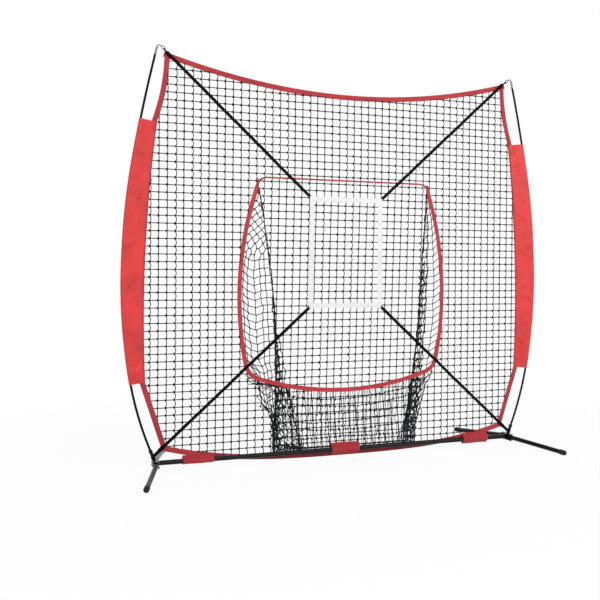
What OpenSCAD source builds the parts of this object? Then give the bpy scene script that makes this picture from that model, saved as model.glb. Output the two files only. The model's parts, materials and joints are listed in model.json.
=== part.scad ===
// Bow-framed ball net with a pocket behind its mouth and a strike-zone target in front.
// +Z is up, the frame stands in the plane y = 0 and -Y is the side that balls come from.

/* [Base] */
// Distance between the centres of the two hubs
hub_spacing = 2134; // [1900:1:2400]
// Height of the base tube's centre line above the ground
base_height = 40; // [36:1:60]
// Outer diameter of the base tubes and the legs
tube_d = 25.4; // [22:0.1:27]
// Wall of the base tubes and the legs
tube_wall = 1.4; // [1:0.1:2]
// Length of the middle base tube between its shoulders
middle_tube_len = 712; // [500:1:900]
// Length of the swaged end that enters the outer tube
swage_len = 60; // [50:1:90]
// Diameter of the snap button
button_d = 6; // [5:0.1:8]
// How far the snap button stands out of the tube
button_proud = 1.6; // [1:0.1:1.9]
// How far the snap button travels when it is pressed
button_travel = 4; // [3:0.1:5]

/* [Hub and legs] */
// Thickness of the two hub plates
plate_t = 3; // [2:0.1:5]
// Distance of each leg's pivot from the base tube's centre line
pivot_offset = 36; // [32:1:50]
// Diameter of the pivot bolt
bolt_d = 8; // [6:0.1:10]
// Length of a leg from its pivot to the end of its tube
leg_len = 372; // [300:1:450]
// Angle of each leg from square to the base tube
leg_splay = 18; // [0:1:30]
// Outer diameter of the foot cap
cap_d = 29; // [28:0.1:34]
// Length of the foot cap over the leg
cap_len = 26; // [16:1:50]
// Length of the pole socket along the pole
socket_len = 54; // [45:1:90]
// Wall of the pole socket
socket_wall = 3.9; // [2:0.1:5]

/* [Poles] */
// Diameter of the bow pole
pole_d = 9.5; // [8:0.1:11]
// Outward lean of the pole in its socket
pole_lean = 22; // [16:0.5:26]
// Curved length of each pole section
arc_len = 470; // [420:1:500]
// Inward turn of the lowest pole section
turn_1 = 15; // [10:0.5:18]
// Inward turn of the second pole section
turn_2 = 9.5; // [7:0.5:12]
// Inward turn of the third pole section
turn_3 = 7.5; // [5:0.5:10]
// Inward turn of the highest pole section
turn_4 = 3.5; // [2:0.5:8]
// Length of the ferrule that joins two pole sections
ferrule_len = 60; // [40:1:80]
// Wall of that ferrule
ferrule_wall = 1.4; // [0.8:0.1:2]

/* [Top hooks] */
// Diameter of the bent rod
hook_rod_d = 6.5; // [5:0.1:8]
// Radius of the bend, to the middle of the rod
hook_bend_r = 10; // [8:0.5:16]
// Angle of the bend
hook_turn = 110; // [95:1:125]
// Length of the hook's cup over the pole end
hook_cup_len = 37; // [28:1:60]
// Radius of the eye, to the middle of its wire
eye_r = 9; // [8.5:0.1:12]
// Diameter of the eye's wire
eye_wire_d = 4.4; // [3.5:0.1:4.8]

/* [Net] */
// Distance between the upright cords of the net
mesh_x = 44; // [30:1:60]
// Distance between the level cords of the net
mesh_z = 40; // [30:1:60]
// Width of a cord
cord_w = 2.2; // [1.4:0.1:3]
// Thickness of a cord
cord_t = 1.1; // [0.8:0.1:1.3]
// How far the top edge sags in the middle
top_sag = 146; // [60:1:220]
// Height of the bottom edge's lowest point
bottom_clear = 3; // [1:1:12]
// Height of the net's lower corners
bottom_corner_z = 98; // [86:1:130]
// How far the lower corners lie inside the hubs
bottom_corner_in = 37; // [30:1:60]
// Width of the webbing that binds the edges
binding_w = 28; // [18:1:32]
// Thickness of the folded binding
binding_t = 3.4; // [3:0.1:4]

/* [Pocket] */
// Greatest half width of the mouth
mouth_half_w = 630; // [520:1:700]
// Height at which the mouth is widest
mouth_mid_z = 900; // [800:1:1000]
// Height of the mouth's top edge
mouth_top_z = 1545; // [1450:1:1650]
// Height of the mouth's lip in the middle
mouth_lip_z = 357; // [300:1:450]
// Radius of the sides' long curve
mouth_side_r = 1866; // [1500:1:2600]
// Radius of the lip's long curve
mouth_lip_r = 1634; // [1300:1:2600]
// Radius of the mouth's upper corners
mouth_upper_r = 70; // [45:1:120]
// Radius of the mouth's lower corners
mouth_lower_r = 120; // [60:1:180]
// Width of the webbing round the mouth's sides and lip
trim_w = 24; // [14:1:30]
// Width of that webbing along the mouth's top
trim_top_w = 9; // [6:1:12]
// Depth of the pocket at its belly
pocket_depth = 60; // [50:1:200]
// Height of the pocket's belly
belly_z = 350; // [250:1:450]
// Half width of the pocket's back panel at the mouth's top
fold_top_half_w = 512; // [430:1:520]
// Half width of the pocket's back panel at the ground
fold_base_half_w = 372; // [300:1:400]
// Half width of the pocket's sides where they hang straight
pocket_waist_half_w = 437; // [420:1:470]
// Height up to which the pocket's sides hang straight
pocket_waist_z = 230; // [150:1:300]

/* [Sleeves and wraps] */
// Height of the sleeve's lower end
sleeve_bottom_z = 450; // [380:1:550]
// Height of the sleeve's upper end
sleeve_top_z = 1810; // [1600:1:1880]
// Width of the sleeve at its upper end, from the pole to the net's edge
sleeve_top_w = 61; // [45:1:75]
// Width of the sleeve at its lower end
sleeve_bottom_w = 49; // [40:1:65]
// How far the net's edge bows out along the sleeve
side_bulge = 30; // [10:1:45]
// How sharply the net's edge swings in above the sleeve, 1 being a straight run
side_swing = 2; // [1:0.1:3]
// Thickness of the sleeve's cloth
sleeve_cloth = 1; // [0.6:0.1:1.6]
// Length of a wrap along the base tube
wrap_len = 166; // [80:1:220]
// Distance from a hub to the centre of an outer wrap
outer_wrap_in = 226; // [190:1:360]
// Thickness of a wrap's cloth
wrap_cloth = 1.4; // [0.8:0.1:1.5]
// How far a wrap reaches above the base tube's centre line
wrap_above = 37; // [30:1:45]
// How far a wrap reaches below the base tube's centre line
wrap_below = 24; // [18:1:30]

/* [Strike zone] */
// Outer width of the strike zone
zone_w = 441; // [350:1:500]
// Outer height of the strike zone
zone_h = 617; // [500:1:700]
// Height of the strike zone's lower edge
zone_bottom_z = 830; // [700:1:900]
// Width of the strike zone's webbing
zone_web_w = 26; // [18:1:38]
// Thickness of the strike zone's webbing
zone_web_t = 1; // [0.8:0.1:1.3]
// Width of a corner strap
strap_w = 18; // [12:1:22]
// Thickness of a corner strap
strap_t = 1.4; // [1:0.1:2]

/* [Hidden] */
$fn = 48;

// Clearances
fit_gap = 0.3;
slide_gap = 0.15;
layer_gap = 0.2;
pin_gap = 0.06;
cut = 1;

// Base tubes
hub_x = hub_spacing / 2;
tube_r = tube_d / 2;
tube_bore_r = tube_r - tube_wall;
swage_gap = 0.2;
swage_r = tube_bore_r - swage_gap;
swage_bore_r = swage_r - tube_wall;
joint_x = middle_tube_len / 2;
button_x = joint_x + swage_len / 2;
button_tip = 1;
button_hole_r = button_d / 2 + slide_gap;
leaf_t = 0.8;
leaf_w = 8;
leaf_len = 20;
leaf_y = 4;
leaf_sunk = 0.1;

// Hub: two plates with a block, a spigot and a leaning pole socket
plate_clear = 1.6;
plate_gap = tube_d + 2 * plate_clear;
plate_half_w = 16;
block_half_x = 14;
block_half_y = 10;
spigot_len = 50;
spigot_r = tube_bore_r - slide_gap;
spigot_bore_in = 6;
spigot_end_x = hub_x - block_half_x - spigot_len;
pole_r = pole_d / 2;
socket_bore_r = pole_r + fit_gap;
socket_r = socket_bore_r + socket_wall;
socket_foot = 21;
socket_end = (plate_gap / 2 + plate_t) / cos(pole_lean) + socket_len;
collar_len = 10;
collar_proud = 1.5;
socket_trim = 4 * tube_d;

// Pivots and legs
bolt_r = bolt_d / 2;
bolt_hole_r = bolt_r + pin_gap;
bush_wall = 2;
bush_r = bolt_r + bush_wall;
washer_r = bolt_d;
washer_t = 1.6;
bolt_head_r = bolt_d * 0.85;
bolt_head_h = bolt_d * 0.5;
nut_r = bolt_d * 0.92;
nut_h = bolt_d * 0.7;
head_dome_r = bolt_head_r * 1.3;
thread_spare = 1;
plate_top_z = base_height + plate_gap / 2 + plate_t;
plate_under_z = base_height - plate_gap / 2 - plate_t;
bolt_foot_z = plate_under_z - washer_t - nut_h - thread_spare;
leg_end_clear = 5.8;
leg_end_r = tube_r + leg_end_clear;
cap_r = cap_d / 2;
cap_flat = 1;
cap_bore_r = tube_r + slide_gap;
droop = asin((base_height - cap_r + cap_flat) / leg_len);

// Poles: a station is [x, z, heading], the heading in degrees outward from upright
turns = [turn_1, turn_2, turn_3, turn_4];
hub_station = [hub_x, base_height, pole_lean];
pole_bare_len = 8;
tail_end = socket_end + pole_bare_len;
pole_end_r = pole_r - slide_gap;
ferrule_bore_r = pole_end_r + slide_gap;
ferrule_r = ferrule_bore_r + ferrule_wall;
butt_gap = 0.4;
rooted = 2;
pole_end_len = 25;
profile_steps = 8;

// Top hooks
hook_cup_wall = 1.4;
hook_cup_r = pole_r + hook_cup_wall;
hook_rod_r = hook_rod_d / 2;
hook_cup_bore_r = pole_end_r + slide_gap;
hook_rooted = 1.5;
hook_lap = 0.5;
hook_step = 0.3;
hook_end_r = hook_rod_r - hook_step;
hook_neck_r = hook_rod_r + hook_step;
hook_neck_len = 6;
hook_rise = 12;
hook_drop = 10;
eye_wire_r = eye_wire_d / 2;

// Layers of the soft goods, from the base tube's back to the pocket
pocket_cord_r = 1;
wrap_back_gap = 0.5;
binding_y = tube_r + layer_gap + wrap_cloth + wrap_back_gap;
binding_back_y = binding_y + binding_t;
net_y = binding_y + (binding_t - 2 * cord_t - layer_gap) / 2;
net_layer = cord_t + layer_gap;
pocket_y = binding_back_y + layer_gap + pocket_cord_r;
strap_y = socket_r + fit_gap;
tab_y = strap_y + strap_t + fit_gap;
tab_t = binding_y - fit_gap - tab_y;

// Pocket
fold_cord_r = 1.6;
column_shift = 2 * pocket_cord_r + 2 * layer_gap;
pocket_base_z = 30;
gusset_columns = 3;
gusset_span = 3 * mesh_z;

// Sleeves
sleeve_hem_r = 1;
sleeve_ease = 0.8;
sleeve_bore_r = ferrule_r + sleeve_ease;
sleeve_steps = 20;
sleeve_peg_steps = 6;
slope_span = 5;

// Base wraps
wrap_bore_r = tube_r + layer_gap;
wrap_tip_r = 1.6;
outer_wrap_x = hub_x - outer_wrap_in;

function lerp(a, b, t) = a + (b - a) * t;
function unit(v) = v / norm(v);

// Stations along a pole
function ahead(s, d) = [s[0] + d * sin(s[2]), s[1] + d * cos(s[2]), s[2]];
function round_bend(s, r, turn) = [
    s[0] + r * (cos(s[2] - turn) - cos(s[2])),
    s[1] + r * (sin(s[2]) - sin(s[2] - turn)),
    s[2] - turn
];
function bend_r(i) = arc_len / turns[i] * 180 / PI;
function arc_start(i) = i == 0 ? ahead(hub_station, tail_end) : ahead(arc_end(i - 1), ferrule_len);
function arc_end(i) = round_bend(arc_start(i), bend_r(i), turns[i]);
pole_top = ahead(arc_end(3), pole_end_len);
hook_bend_start = ahead(pole_top, hook_rise + hook_neck_len);
hook_bend_end = round_bend(hook_bend_start, hook_bend_r, hook_turn);
eye = ahead(hook_bend_end, hook_drop + eye_r);

// Half width of the frame at a height, read off the pole's centre line
pole_profile = [
    for (i = [0 : 3], k = [0 : profile_steps])
        let (s = round_bend(arc_start(i), bend_r(i), turns[i] * k / profile_steps)) [s[1], s[0]]
];
function pole_x(z) = lookup(z, pole_profile);
function pole_slope(z) = (pole_x(z + slope_span) - pole_x(z - slope_span)) / (2 * slope_span);

// Outline through a list of circles [x, y, r] in counter-clockwise order, like a band round pegs
function band_normal(a, b) =
    atan2(b[1] - a[1], b[0] - a[0]) - acos((a[2] - b[2]) / norm([b[0] - a[0], b[1] - a[1]]));
function band_outline(pegs, steps, grow = 0) = [
    for (i = [0 : len(pegs) - 1])
        let (
            peg = pegs[i],
            before = pegs[(i + len(pegs) - 1) % len(pegs)],
            after = pegs[(i + 1) % len(pegs)],
            a0 = band_normal(before, peg),
            sweep = (band_normal(peg, after) - a0 + 720) % 360
        )
        for (k = [0 : steps])
            let (a = a0 + sweep * k / steps)
            [peg[0] + (peg[2] + grow) * cos(a), peg[1] + (peg[2] + grow) * sin(a)]
];

// Edges of the net
corner_in = 10;
corner_drop = 14;
top_corner_x = eye[0] - corner_in;
top_corner_z = eye[1] - corner_drop;
bottom_corner_x = hub_x - bottom_corner_in;
side_top_x = pole_x(sleeve_top_z) - sleeve_top_w;
side_bottom_x = pole_x(sleeve_bottom_z) - sleeve_bottom_w;
side_reach = max(side_top_x, side_bottom_x) + 2 * side_bulge;
side_steps = 10;
swing_steps = 5;
edge_steps = 16;
function top_edge_z(x) = top_corner_z - top_sag * (1 - pow(x / top_corner_x, 2));
function bottom_edge_z(x) =
    lerp(bottom_clear, bottom_corner_z, pow(abs(x) / bottom_corner_x, 3));
function sleeve_share(z) = (sleeve_top_z - z) / (sleeve_top_z - sleeve_bottom_z);
function side_edge_x(z) =
    let (
        above = (z - sleeve_top_z) / (top_corner_z - sleeve_top_z),
        below = (sleeve_bottom_z - z) / (sleeve_bottom_z - bottom_corner_z),
        share = sleeve_share(z)
    )
    above > 0 ? lerp(top_corner_x, side_top_x, pow(max(1 - above, 0), side_swing))
    : below > 0 ? lerp(side_bottom_x, bottom_corner_x, below)
    : lerp(side_top_x, side_bottom_x, share) + 4 * side_bulge * share * (1 - share);
side_heights = concat(
    [bottom_corner_z],
    [for (k = [0 : side_steps]) lerp(sleeve_bottom_z, sleeve_top_z, k / side_steps)],
    [for (k = [1 : swing_steps]) lerp(sleeve_top_z, top_corner_z, k / swing_steps)]
);

// Outline of the mouth: two long side curves, a long lip curve, a straight top and four corners
function lip_corner(rc) =
    let (
        side = [mouth_half_w - mouth_side_r, mouth_mid_z],
        lip = [0, mouth_lip_z + mouth_lip_r],
        r1 = mouth_side_r - rc,
        r2 = mouth_lip_r - rc,
        d = norm(lip - side),
        a = (r1 * r1 - r2 * r2 + d * d) / (2 * d),
        h = sqrt(r1 * r1 - a * a),
        e = (lip - side) / d
    )
    side + a * e + h * [e[1], -e[0]];
function upper_corner(rc) =
    let (z = mouth_top_z - rc)
    [mouth_half_w - mouth_side_r + sqrt(pow(mouth_side_r - rc, 2) - pow(z - mouth_mid_z, 2)), z];
function arc_points(c, r, a0, a1, steps) =
    [for (k = [0 : steps]) let (a = lerp(a0, a1, k / steps)) c + r * [cos(a), sin(a)]];
function mouth_half_outline(inset) =
    let (
        side = [mouth_half_w - mouth_side_r, mouth_mid_z],
        lip = [0, mouth_lip_z + mouth_lip_r],
        low = lip_corner(mouth_lower_r),
        high = upper_corner(mouth_upper_r),
        lip_a = atan2(low[1] - lip[1], low[0] - lip[0]),
        low_a = atan2(low[1] - side[1], low[0] - side[0]),
        high_a = atan2(high[1] - side[1], high[0] - side[0])
    )
    concat(
        arc_points(lip, mouth_lip_r - inset, -90, lip_a, 6),
        arc_points(low, mouth_lower_r - inset, lip_a, low_a, 6),
        arc_points(side, mouth_side_r - inset, low_a, high_a, 10),
        arc_points(high, mouth_upper_r - inset, high_a, 90, 5)
    );
function mouth_side_x(z) =
    mouth_half_w - mouth_side_r + sqrt(pow(mouth_side_r, 2) - pow(z - mouth_mid_z, 2));

// Pocket surfaces
pocket_low_z = pocket_base_z + binding_w / 2;
pocket_high_z = mouth_top_z - trim_w / 2;
pocket_rows = floor((pocket_high_z - pocket_low_z) / mesh_z);
function fold_x(z) = lerp(fold_base_half_w, fold_top_half_w, z / mouth_top_z);
function fold_height(x) = mouth_top_z * (x - fold_base_half_w) / (fold_top_half_w - fold_base_half_w);
function back_y(z) =
    z > belly_z
        ? lerp(pocket_y + pocket_depth, pocket_y, (z - belly_z) / (mouth_top_z - belly_z))
        : lerp(pocket_y, pocket_y + pocket_depth, (z - pocket_base_z) / (belly_z - pocket_base_z));
pocket_hang_z = lip_corner(mouth_lower_r)[1];
function pocket_edge_x(z) =
    let (
        hang = (z - pocket_waist_z) / (pocket_hang_z - pocket_waist_z),
        seam_x = mouth_side_x(max(z, pocket_hang_z)) - trim_w / 2
    )
    hang > 1 ? seam_x : lerp(pocket_waist_half_w, seam_x, max(hang, 0));

// Ends of a gusset's upright cords: where its surface bends, and then at even steps
gusset_heights = concat(
    [pocket_low_z, pocket_waist_z, belly_z],
    [for (z = [pocket_hang_z : gusset_span : pocket_high_z - 2 * mesh_z]) z]
);

// Point of a gusset's upright cord, behind the level cords and square to their slant
function gusset_point(f, z) =
    let (
        across = [pocket_edge_x(z) - fold_x(z), pocket_y - back_y(z)],
        behind = column_shift * unit([-across[1], across[0]]),
        at = [fold_x(z), back_y(z)] + f * across + behind
    )
    [at[0], at[1], z];

// Strike zone corners and strap ends
zone_corner_x = zone_w / 2 - zone_web_w / 2;
zone_top_z = zone_bottom_z + zone_h;
strap_loop_rise = 3;
strap_loop_s = socket_foot + strap_loop_rise + strap_w / 2;
strap_foot = ahead(hub_station, strap_loop_s);
upper_strap_start = [zone_corner_x, zone_top_z - zone_web_w / 2];
lower_strap_start = [zone_corner_x, zone_bottom_z + zone_web_w / 2];
upper_strap_dir = unit([eye[0], eye[1]] - upper_strap_start);
lower_strap_dir = unit([strap_foot[0], strap_foot[1]] - lower_strap_start);
loop_peg_u = 8;
loop_peg_r = 3.6;
loop_w = 8;
loop_tip_r = 0.4;
loop_tip_y = tab_y + tab_t - loop_tip_r - strap_t - layer_gap;
upper_tab_u = 26;
lower_tab_u = 42;
tab_len = 34;
tab_over = 2;
tab_w = strap_w + 2 * tab_over;
strap_end_gap = 2;

module at_station(s) {
    translate([s[0], 0, s[1]]) rotate([0, s[2], 0]) children();
}

// Swept bend from a station, turning towards the middle of the frame
module bend(r, turn, d) {
    translate([-r, 0, 0]) rotate([90, 0, 0]) rotate_extrude(angle = turn, $fn = 96)
        translate([r, 0]) circle(d = d);
}

module along_x(x0, x1, r) {
    translate([x0, 0, base_height]) rotate([0, 90, 0]) cylinder(r = r, h = x1 - x0);
}

// Flat piece standing in the XZ plane, from y towards the back
module upright(y, t) {
    translate([0, y + t, 0]) rotate([90, 0, 0]) linear_extrude(t) children();
}

module along_y(x, y0, y1, r0, r1) {
    translate([x, y0, base_height]) rotate([-90, 0, 0]) cylinder(r1 = r0, r2 = r1, h = y1 - y0);
}

module mirrored() {
    mirror([1, 0, 0]) children();
}

module base_tube_right() {
    color("dimgray") difference() {
        along_x(joint_x + fit_gap, hub_x - block_half_x - fit_gap, tube_r);
        along_x(joint_x, hub_x, tube_bore_r);
        along_y(button_x, 0, tube_d, button_hole_r, button_hole_r);
    }
}

module base_tube_left() {
    mirrored() base_tube_right();
}

module middle_tube_half() {
    difference() {
        union() {
            along_x(0, joint_x, tube_r);
            along_x(0, joint_x + swage_len, swage_r);
        }
        along_x(-cut, joint_x + swage_len + cut, swage_bore_r);
        along_y(button_x, 0, tube_d, button_hole_r, button_hole_r);
    }
}

module base_tube_middle() {
    color("dimgray") {
        middle_tube_half();
        mirrored() middle_tube_half();
    }
}

// Button pin with the leaf arm that carries it inside the tube
module right_snap_button() {
    button_r = button_d / 2;
    shoulder_y = tube_r + button_proud - button_tip;
    color("silver") {
        along_y(button_x, leaf_y, shoulder_y, button_r, button_r);
        along_y(button_x, shoulder_y, shoulder_y + button_tip, button_r, button_r - button_tip);
        translate([button_x - leaf_len, leaf_y - leaf_t, base_height - leaf_w / 2])
            cube([leaf_len + leaf_w / 2, leaf_t + leaf_sunk, leaf_w]);
    }
}

module left_snap_button() {
    mirrored() right_snap_button();
}

// The rest of the leaf: a bend behind the arm and the arm that bears on the tube's front wall
module right_snap_spring() {
    front_y = layer_gap - sqrt(pow(swage_bore_r, 2) - pow(leaf_w / 2, 2));
    bend_mid_y = (leaf_y + front_y) / 2;
    bend_out_r = (leaf_y - front_y) / 2;
    color("silver") translate([button_x - leaf_len - fit_gap, bend_mid_y, base_height - leaf_w / 2])
        linear_extrude(leaf_w) {
            difference() {
                circle(r = bend_out_r);
                circle(r = bend_out_r - leaf_t);
                translate([0, -2 * bend_out_r]) square([2 * bend_out_r, 4 * bend_out_r]);
            }
            translate([0, -bend_out_r]) square([leaf_len, leaf_t]);
        }
}

module left_snap_spring() {
    mirrored() right_snap_spring();
}

module hub_plate() {
    linear_extrude(plate_t)
        polygon(band_outline([[0, -pivot_offset, plate_half_w], [0, pivot_offset, plate_half_w]], 16));
}

module right_hub() {
    color("black") difference() {
        union() {
            translate([hub_x, 0, base_height + plate_gap / 2]) hub_plate();
            translate([hub_x, 0, base_height - plate_gap / 2 - plate_t]) hub_plate();
            translate([hub_x - block_half_x, -block_half_y, base_height - plate_gap / 2])
                cube([2 * block_half_x, 2 * block_half_y, plate_gap]);
            along_x(spigot_end_x, hub_x, spigot_r);
            difference() {
                union() {
                    at_station(hub_station) cylinder(r = socket_r, h = socket_end);
                    at_station(ahead(hub_station, socket_end - collar_len))
                        cylinder(r = socket_r + collar_proud, h = collar_len);
                }
                translate([hub_x, 0, base_height + (plate_gap + plate_t - socket_trim) / 2])
                    cube(socket_trim, center = true);
            }
        }
        at_station(ahead(hub_station, socket_foot)) cylinder(r = socket_bore_r, h = socket_end);
        along_x(spigot_end_x - cut, hub_x - block_half_x + spigot_bore_in, spigot_r - tube_wall);
        for (side = [-1, 1])
            translate([hub_x, side * pivot_offset, 0]) cylinder(r = bolt_hole_r, h = 2 * base_height);
    }
}

module left_hub() {
    mirrored() right_hub();
}

// Cylinder along the drooping axis of a leg
module along_leg(u0, u1, r) {
    rotate([0, 90 + droop, 0]) translate([0, 0, u0]) cylinder(r = r, h = u1 - u0);
}

// A leg lies along +X from its pivot at the origin, level with the base tube's centre line
module leg() {
    difference() {
        intersection() {
            union() {
                difference() {
                    along_leg(-leg_end_r, leg_len, tube_r);
                    along_leg(-2 * leg_end_r, leg_len + cut, tube_bore_r);
                }
                translate([0, 0, tube_wall / 2 - tube_r]) cylinder(r = bush_r, h = tube_d - tube_wall);
            }
            translate([0, 0, -2 * tube_d]) linear_extrude(4 * tube_d)
                polygon(band_outline([[0, 0, leg_end_r], [leg_len, 0, leg_end_r]], 16));
        }
        translate([0, 0, -tube_d]) cylinder(r = bolt_hole_r, h = 2 * tube_d);
    }
}

module foot_cap() {
    difference() {
        union() {
            along_leg(leg_len - cap_len, leg_len, cap_r);
            rotate([0, 90 + droop, 0]) translate([0, 0, leg_len]) sphere(r = cap_r);
        }
        along_leg(leg_len - cap_len - cut, leg_len + fit_gap, cap_bore_r);
        translate([leg_len, 0, -base_height - cap_d])
            cube([4 * cap_len, 2 * cap_d, 2 * cap_d], center = true);
    }
}

// Front legs splay outward and rear legs inward, so each pair stands in one line
module at_front_pivot() {
    translate([hub_x, -pivot_offset, base_height]) rotate([0, 0, leg_splay - 90]) children();
}

module at_rear_pivot() {
    translate([hub_x, pivot_offset, base_height]) rotate([0, 0, leg_splay + 90]) children();
}

module right_front_leg() {
    color("black") at_front_pivot() leg();
}

module left_front_leg() {
    mirrored() right_front_leg();
}

module right_rear_leg() {
    color("black") at_rear_pivot() leg();
}

module left_rear_leg() {
    mirrored() right_rear_leg();
}

module right_front_foot_cap() {
    color("dimgray") at_front_pivot() foot_cap();
}

module left_front_foot_cap() {
    mirrored() right_front_foot_cap();
}

module right_rear_foot_cap() {
    color("dimgray") at_rear_pivot() foot_cap();
}

module left_rear_foot_cap() {
    mirrored() right_rear_foot_cap();
}

module at_pivots(z) {
    for (side = [-1, 1]) translate([hub_x, side * pivot_offset, z]) children();
}

module right_pivot_bolts() {
    color("silver") {
        at_pivots(bolt_foot_z) cylinder(r = bolt_r, h = plate_top_z + bolt_head_h / 2 - bolt_foot_z);
        at_pivots(plate_top_z) intersection() {
            cylinder(r = bolt_head_r, h = bolt_head_h);
            translate([0, 0, bolt_head_h - head_dome_r]) sphere(r = head_dome_r);
        }
    }
}

module left_pivot_bolts() {
    mirrored() right_pivot_bolts();
}

module right_pivot_washers() {
    color("silver") at_pivots(plate_under_z - washer_t) difference() {
        cylinder(r = washer_r, h = washer_t);
        translate([0, 0, -cut]) cylinder(r = bolt_hole_r, h = washer_t + 2 * cut);
    }
}

module left_pivot_washers() {
    mirrored() right_pivot_washers();
}

module right_pivot_nuts() {
    color("silver") at_pivots(plate_under_z - washer_t - nut_h) difference() {
        cylinder(r = nut_r, h = nut_h, $fn = 6);
        translate([0, 0, -cut]) cylinder(r = bolt_hole_r, h = nut_h + 2 * cut);
    }
}

module left_pivot_nuts() {
    mirrored() right_pivot_nuts();
}

// Each section is a bend with two straight ends ground down to fit their ferrules;
// the lowest one's tail stands in the socket
module pole_section(i) {
    before = i == 0 ? tail_end - socket_foot - butt_gap : ferrule_len / 2 - butt_gap / 2;
    after = i == 3 ? pole_end_len : ferrule_len / 2 - butt_gap / 2;
    color([0.12, 0.12, 0.13]) {
        at_station(ahead(arc_start(i), -before)) cylinder(r = pole_end_r, h = before + rooted);
        at_station(arc_start(i)) bend(bend_r(i), turns[i], pole_d);
        at_station(ahead(arc_end(i), -rooted)) cylinder(r = pole_end_r, h = after + rooted);
    }
}

module right_pole_section_1() {
    pole_section(0);
}

module right_pole_section_2() {
    pole_section(1);
}

module right_pole_section_3() {
    pole_section(2);
}

module right_pole_section_4() {
    pole_section(3);
}

module left_pole_section_1() {
    mirrored() pole_section(0);
}

module left_pole_section_2() {
    mirrored() pole_section(1);
}

module left_pole_section_3() {
    mirrored() pole_section(2);
}

module left_pole_section_4() {
    mirrored() pole_section(3);
}

module right_pole_ferrules() {
    color("silver") for (i = [0 : 2]) at_station(arc_end(i)) difference() {
        cylinder(r = ferrule_r, h = ferrule_len);
        translate([0, 0, -cut]) cylinder(r = ferrule_bore_r, h = ferrule_len + 2 * cut);
    }
}

module left_pole_ferrules() {
    mirrored() right_pole_ferrules();
}

// Cup over the pole end, closed by a cone; its outline is turned about the pole's axis
module hook_cup() {
    tip = hook_rise + hook_neck_len + hook_lap;
    rotate_extrude() polygon([
        [hook_cup_bore_r, hook_rise - hook_cup_len],
        [hook_cup_r, hook_rise - hook_cup_len],
        [hook_cup_r, hook_rise],
        [hook_neck_r, tip],
        [0, tip],
        [0, butt_gap],
        [hook_cup_bore_r, butt_gap]
    ]);
}

// Cup, a rod bent towards the net and an eye at its tip
module right_top_hook() {
    color("silver") {
        at_station(pole_top) hook_cup();
        at_station(hook_bend_start) bend(hook_bend_r, hook_turn, hook_rod_d);
        at_station(ahead(hook_bend_end, -hook_rooted))
            cylinder(r = hook_end_r, h = hook_drop + hook_rooted);
        translate([eye[0], 0, eye[1]]) rotate([90, 0, 0])
            rotate_extrude() translate([eye_r, 0]) circle(r = eye_wire_r);
    }
}

module left_top_hook() {
    mirrored() right_top_hook();
}

module mouth_area(inset) {
    half = mouth_half_outline(inset);
    polygon(concat(half, [for (i = [len(half) - 1 : -1 : 1]) [-half[i][0], half[i][1]]]));
}

// Between the top edge and the bottom edge, both brought in by inset
module between_edges(inset) {
    xs = [for (k = [-edge_steps : edge_steps]) side_reach * k / edge_steps];
    polygon(concat(
        [for (x = xs) [x, bottom_edge_z(x) + inset]],
        [for (k = [len(xs) - 1 : -1 : 0]) [xs[k], top_edge_z(xs[k]) - inset]]
    ));
}

// Everything inside the bindings, less the mouth
module net_area() {
    inset = binding_w + fit_gap;
    zs = concat([0], side_heights, [2 * top_corner_z]);
    difference() {
        intersection() {
            between_edges(inset);
            polygon(concat(
                [for (z = zs) [side_edge_x(z) - inset, z]],
                [for (k = [len(zs) - 1 : -1 : 0]) [inset - side_edge_x(zs[k]), zs[k]]]
            ));
        }
        mouth_area(-fit_gap);
    }
}

module main_net() {
    columns = floor(side_reach / mesh_x);
    rows = ceil(top_corner_z / mesh_z);
    color("black") {
        upright(net_y, cord_t) intersection() {
            net_area();
            for (k = [-columns : columns])
                translate([k * mesh_x - cord_w / 2, 0]) square([cord_w, top_corner_z]);
        }
        upright(net_y + net_layer, cord_t) intersection() {
            net_area();
            for (k = [1 : rows])
                translate([-side_reach, k * mesh_z - cord_w / 2]) square([2 * side_reach, cord_w]);
        }
    }
}

// Straight cord between two points, held short of both by a gap
module cord(p, q, r, gap = fit_gap) {
    d = q - p;
    translate(p) rotate([0, acos(d[2] / norm(d)), atan2(d[1], d[0])]) translate([0, 0, gap])
        cylinder(r = r, h = norm(d) - 2 * gap, $fn = 6);
}

// Level cord of the pocket, short of the folds that it meets
module pocket_row(z, x0, x1, y0, y1) {
    cord([x0, y0, z], [x1, y1, z], pocket_cord_r, fold_cord_r + fit_gap);
}

// Length of a fold between two heights
module fold_cord(z0, z1) {
    cord([fold_x(z0), back_y(z0), z0], [fold_x(z1), back_y(z1), z1], fold_cord_r);
}

// Upright cord of the back panel, behind the level ones
module back_column(x, z0, z1) {
    cord([x, back_y(z0) + column_shift, z0], [x, back_y(z1) + column_shift, z1], pocket_cord_r);
}

// The side net between a fold and the mouth's edge
module gusset() {
    for (k = [1 : pocket_rows - 1]) {
        z = pocket_low_z + k * mesh_z;
        pocket_row(z, fold_x(z), pocket_edge_x(z), back_y(z), pocket_y);
    }
    for (c = [1 : gusset_columns], k = [1 : len(gusset_heights) - 1]) {
        f = c / (gusset_columns + 1);
        cord(gusset_point(f, gusset_heights[k - 1]), gusset_point(f, gusset_heights[k]), pocket_cord_r);
    }
    fold_cord(pocket_low_z, belly_z);
    fold_cord(belly_z, pocket_high_z);
}

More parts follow.
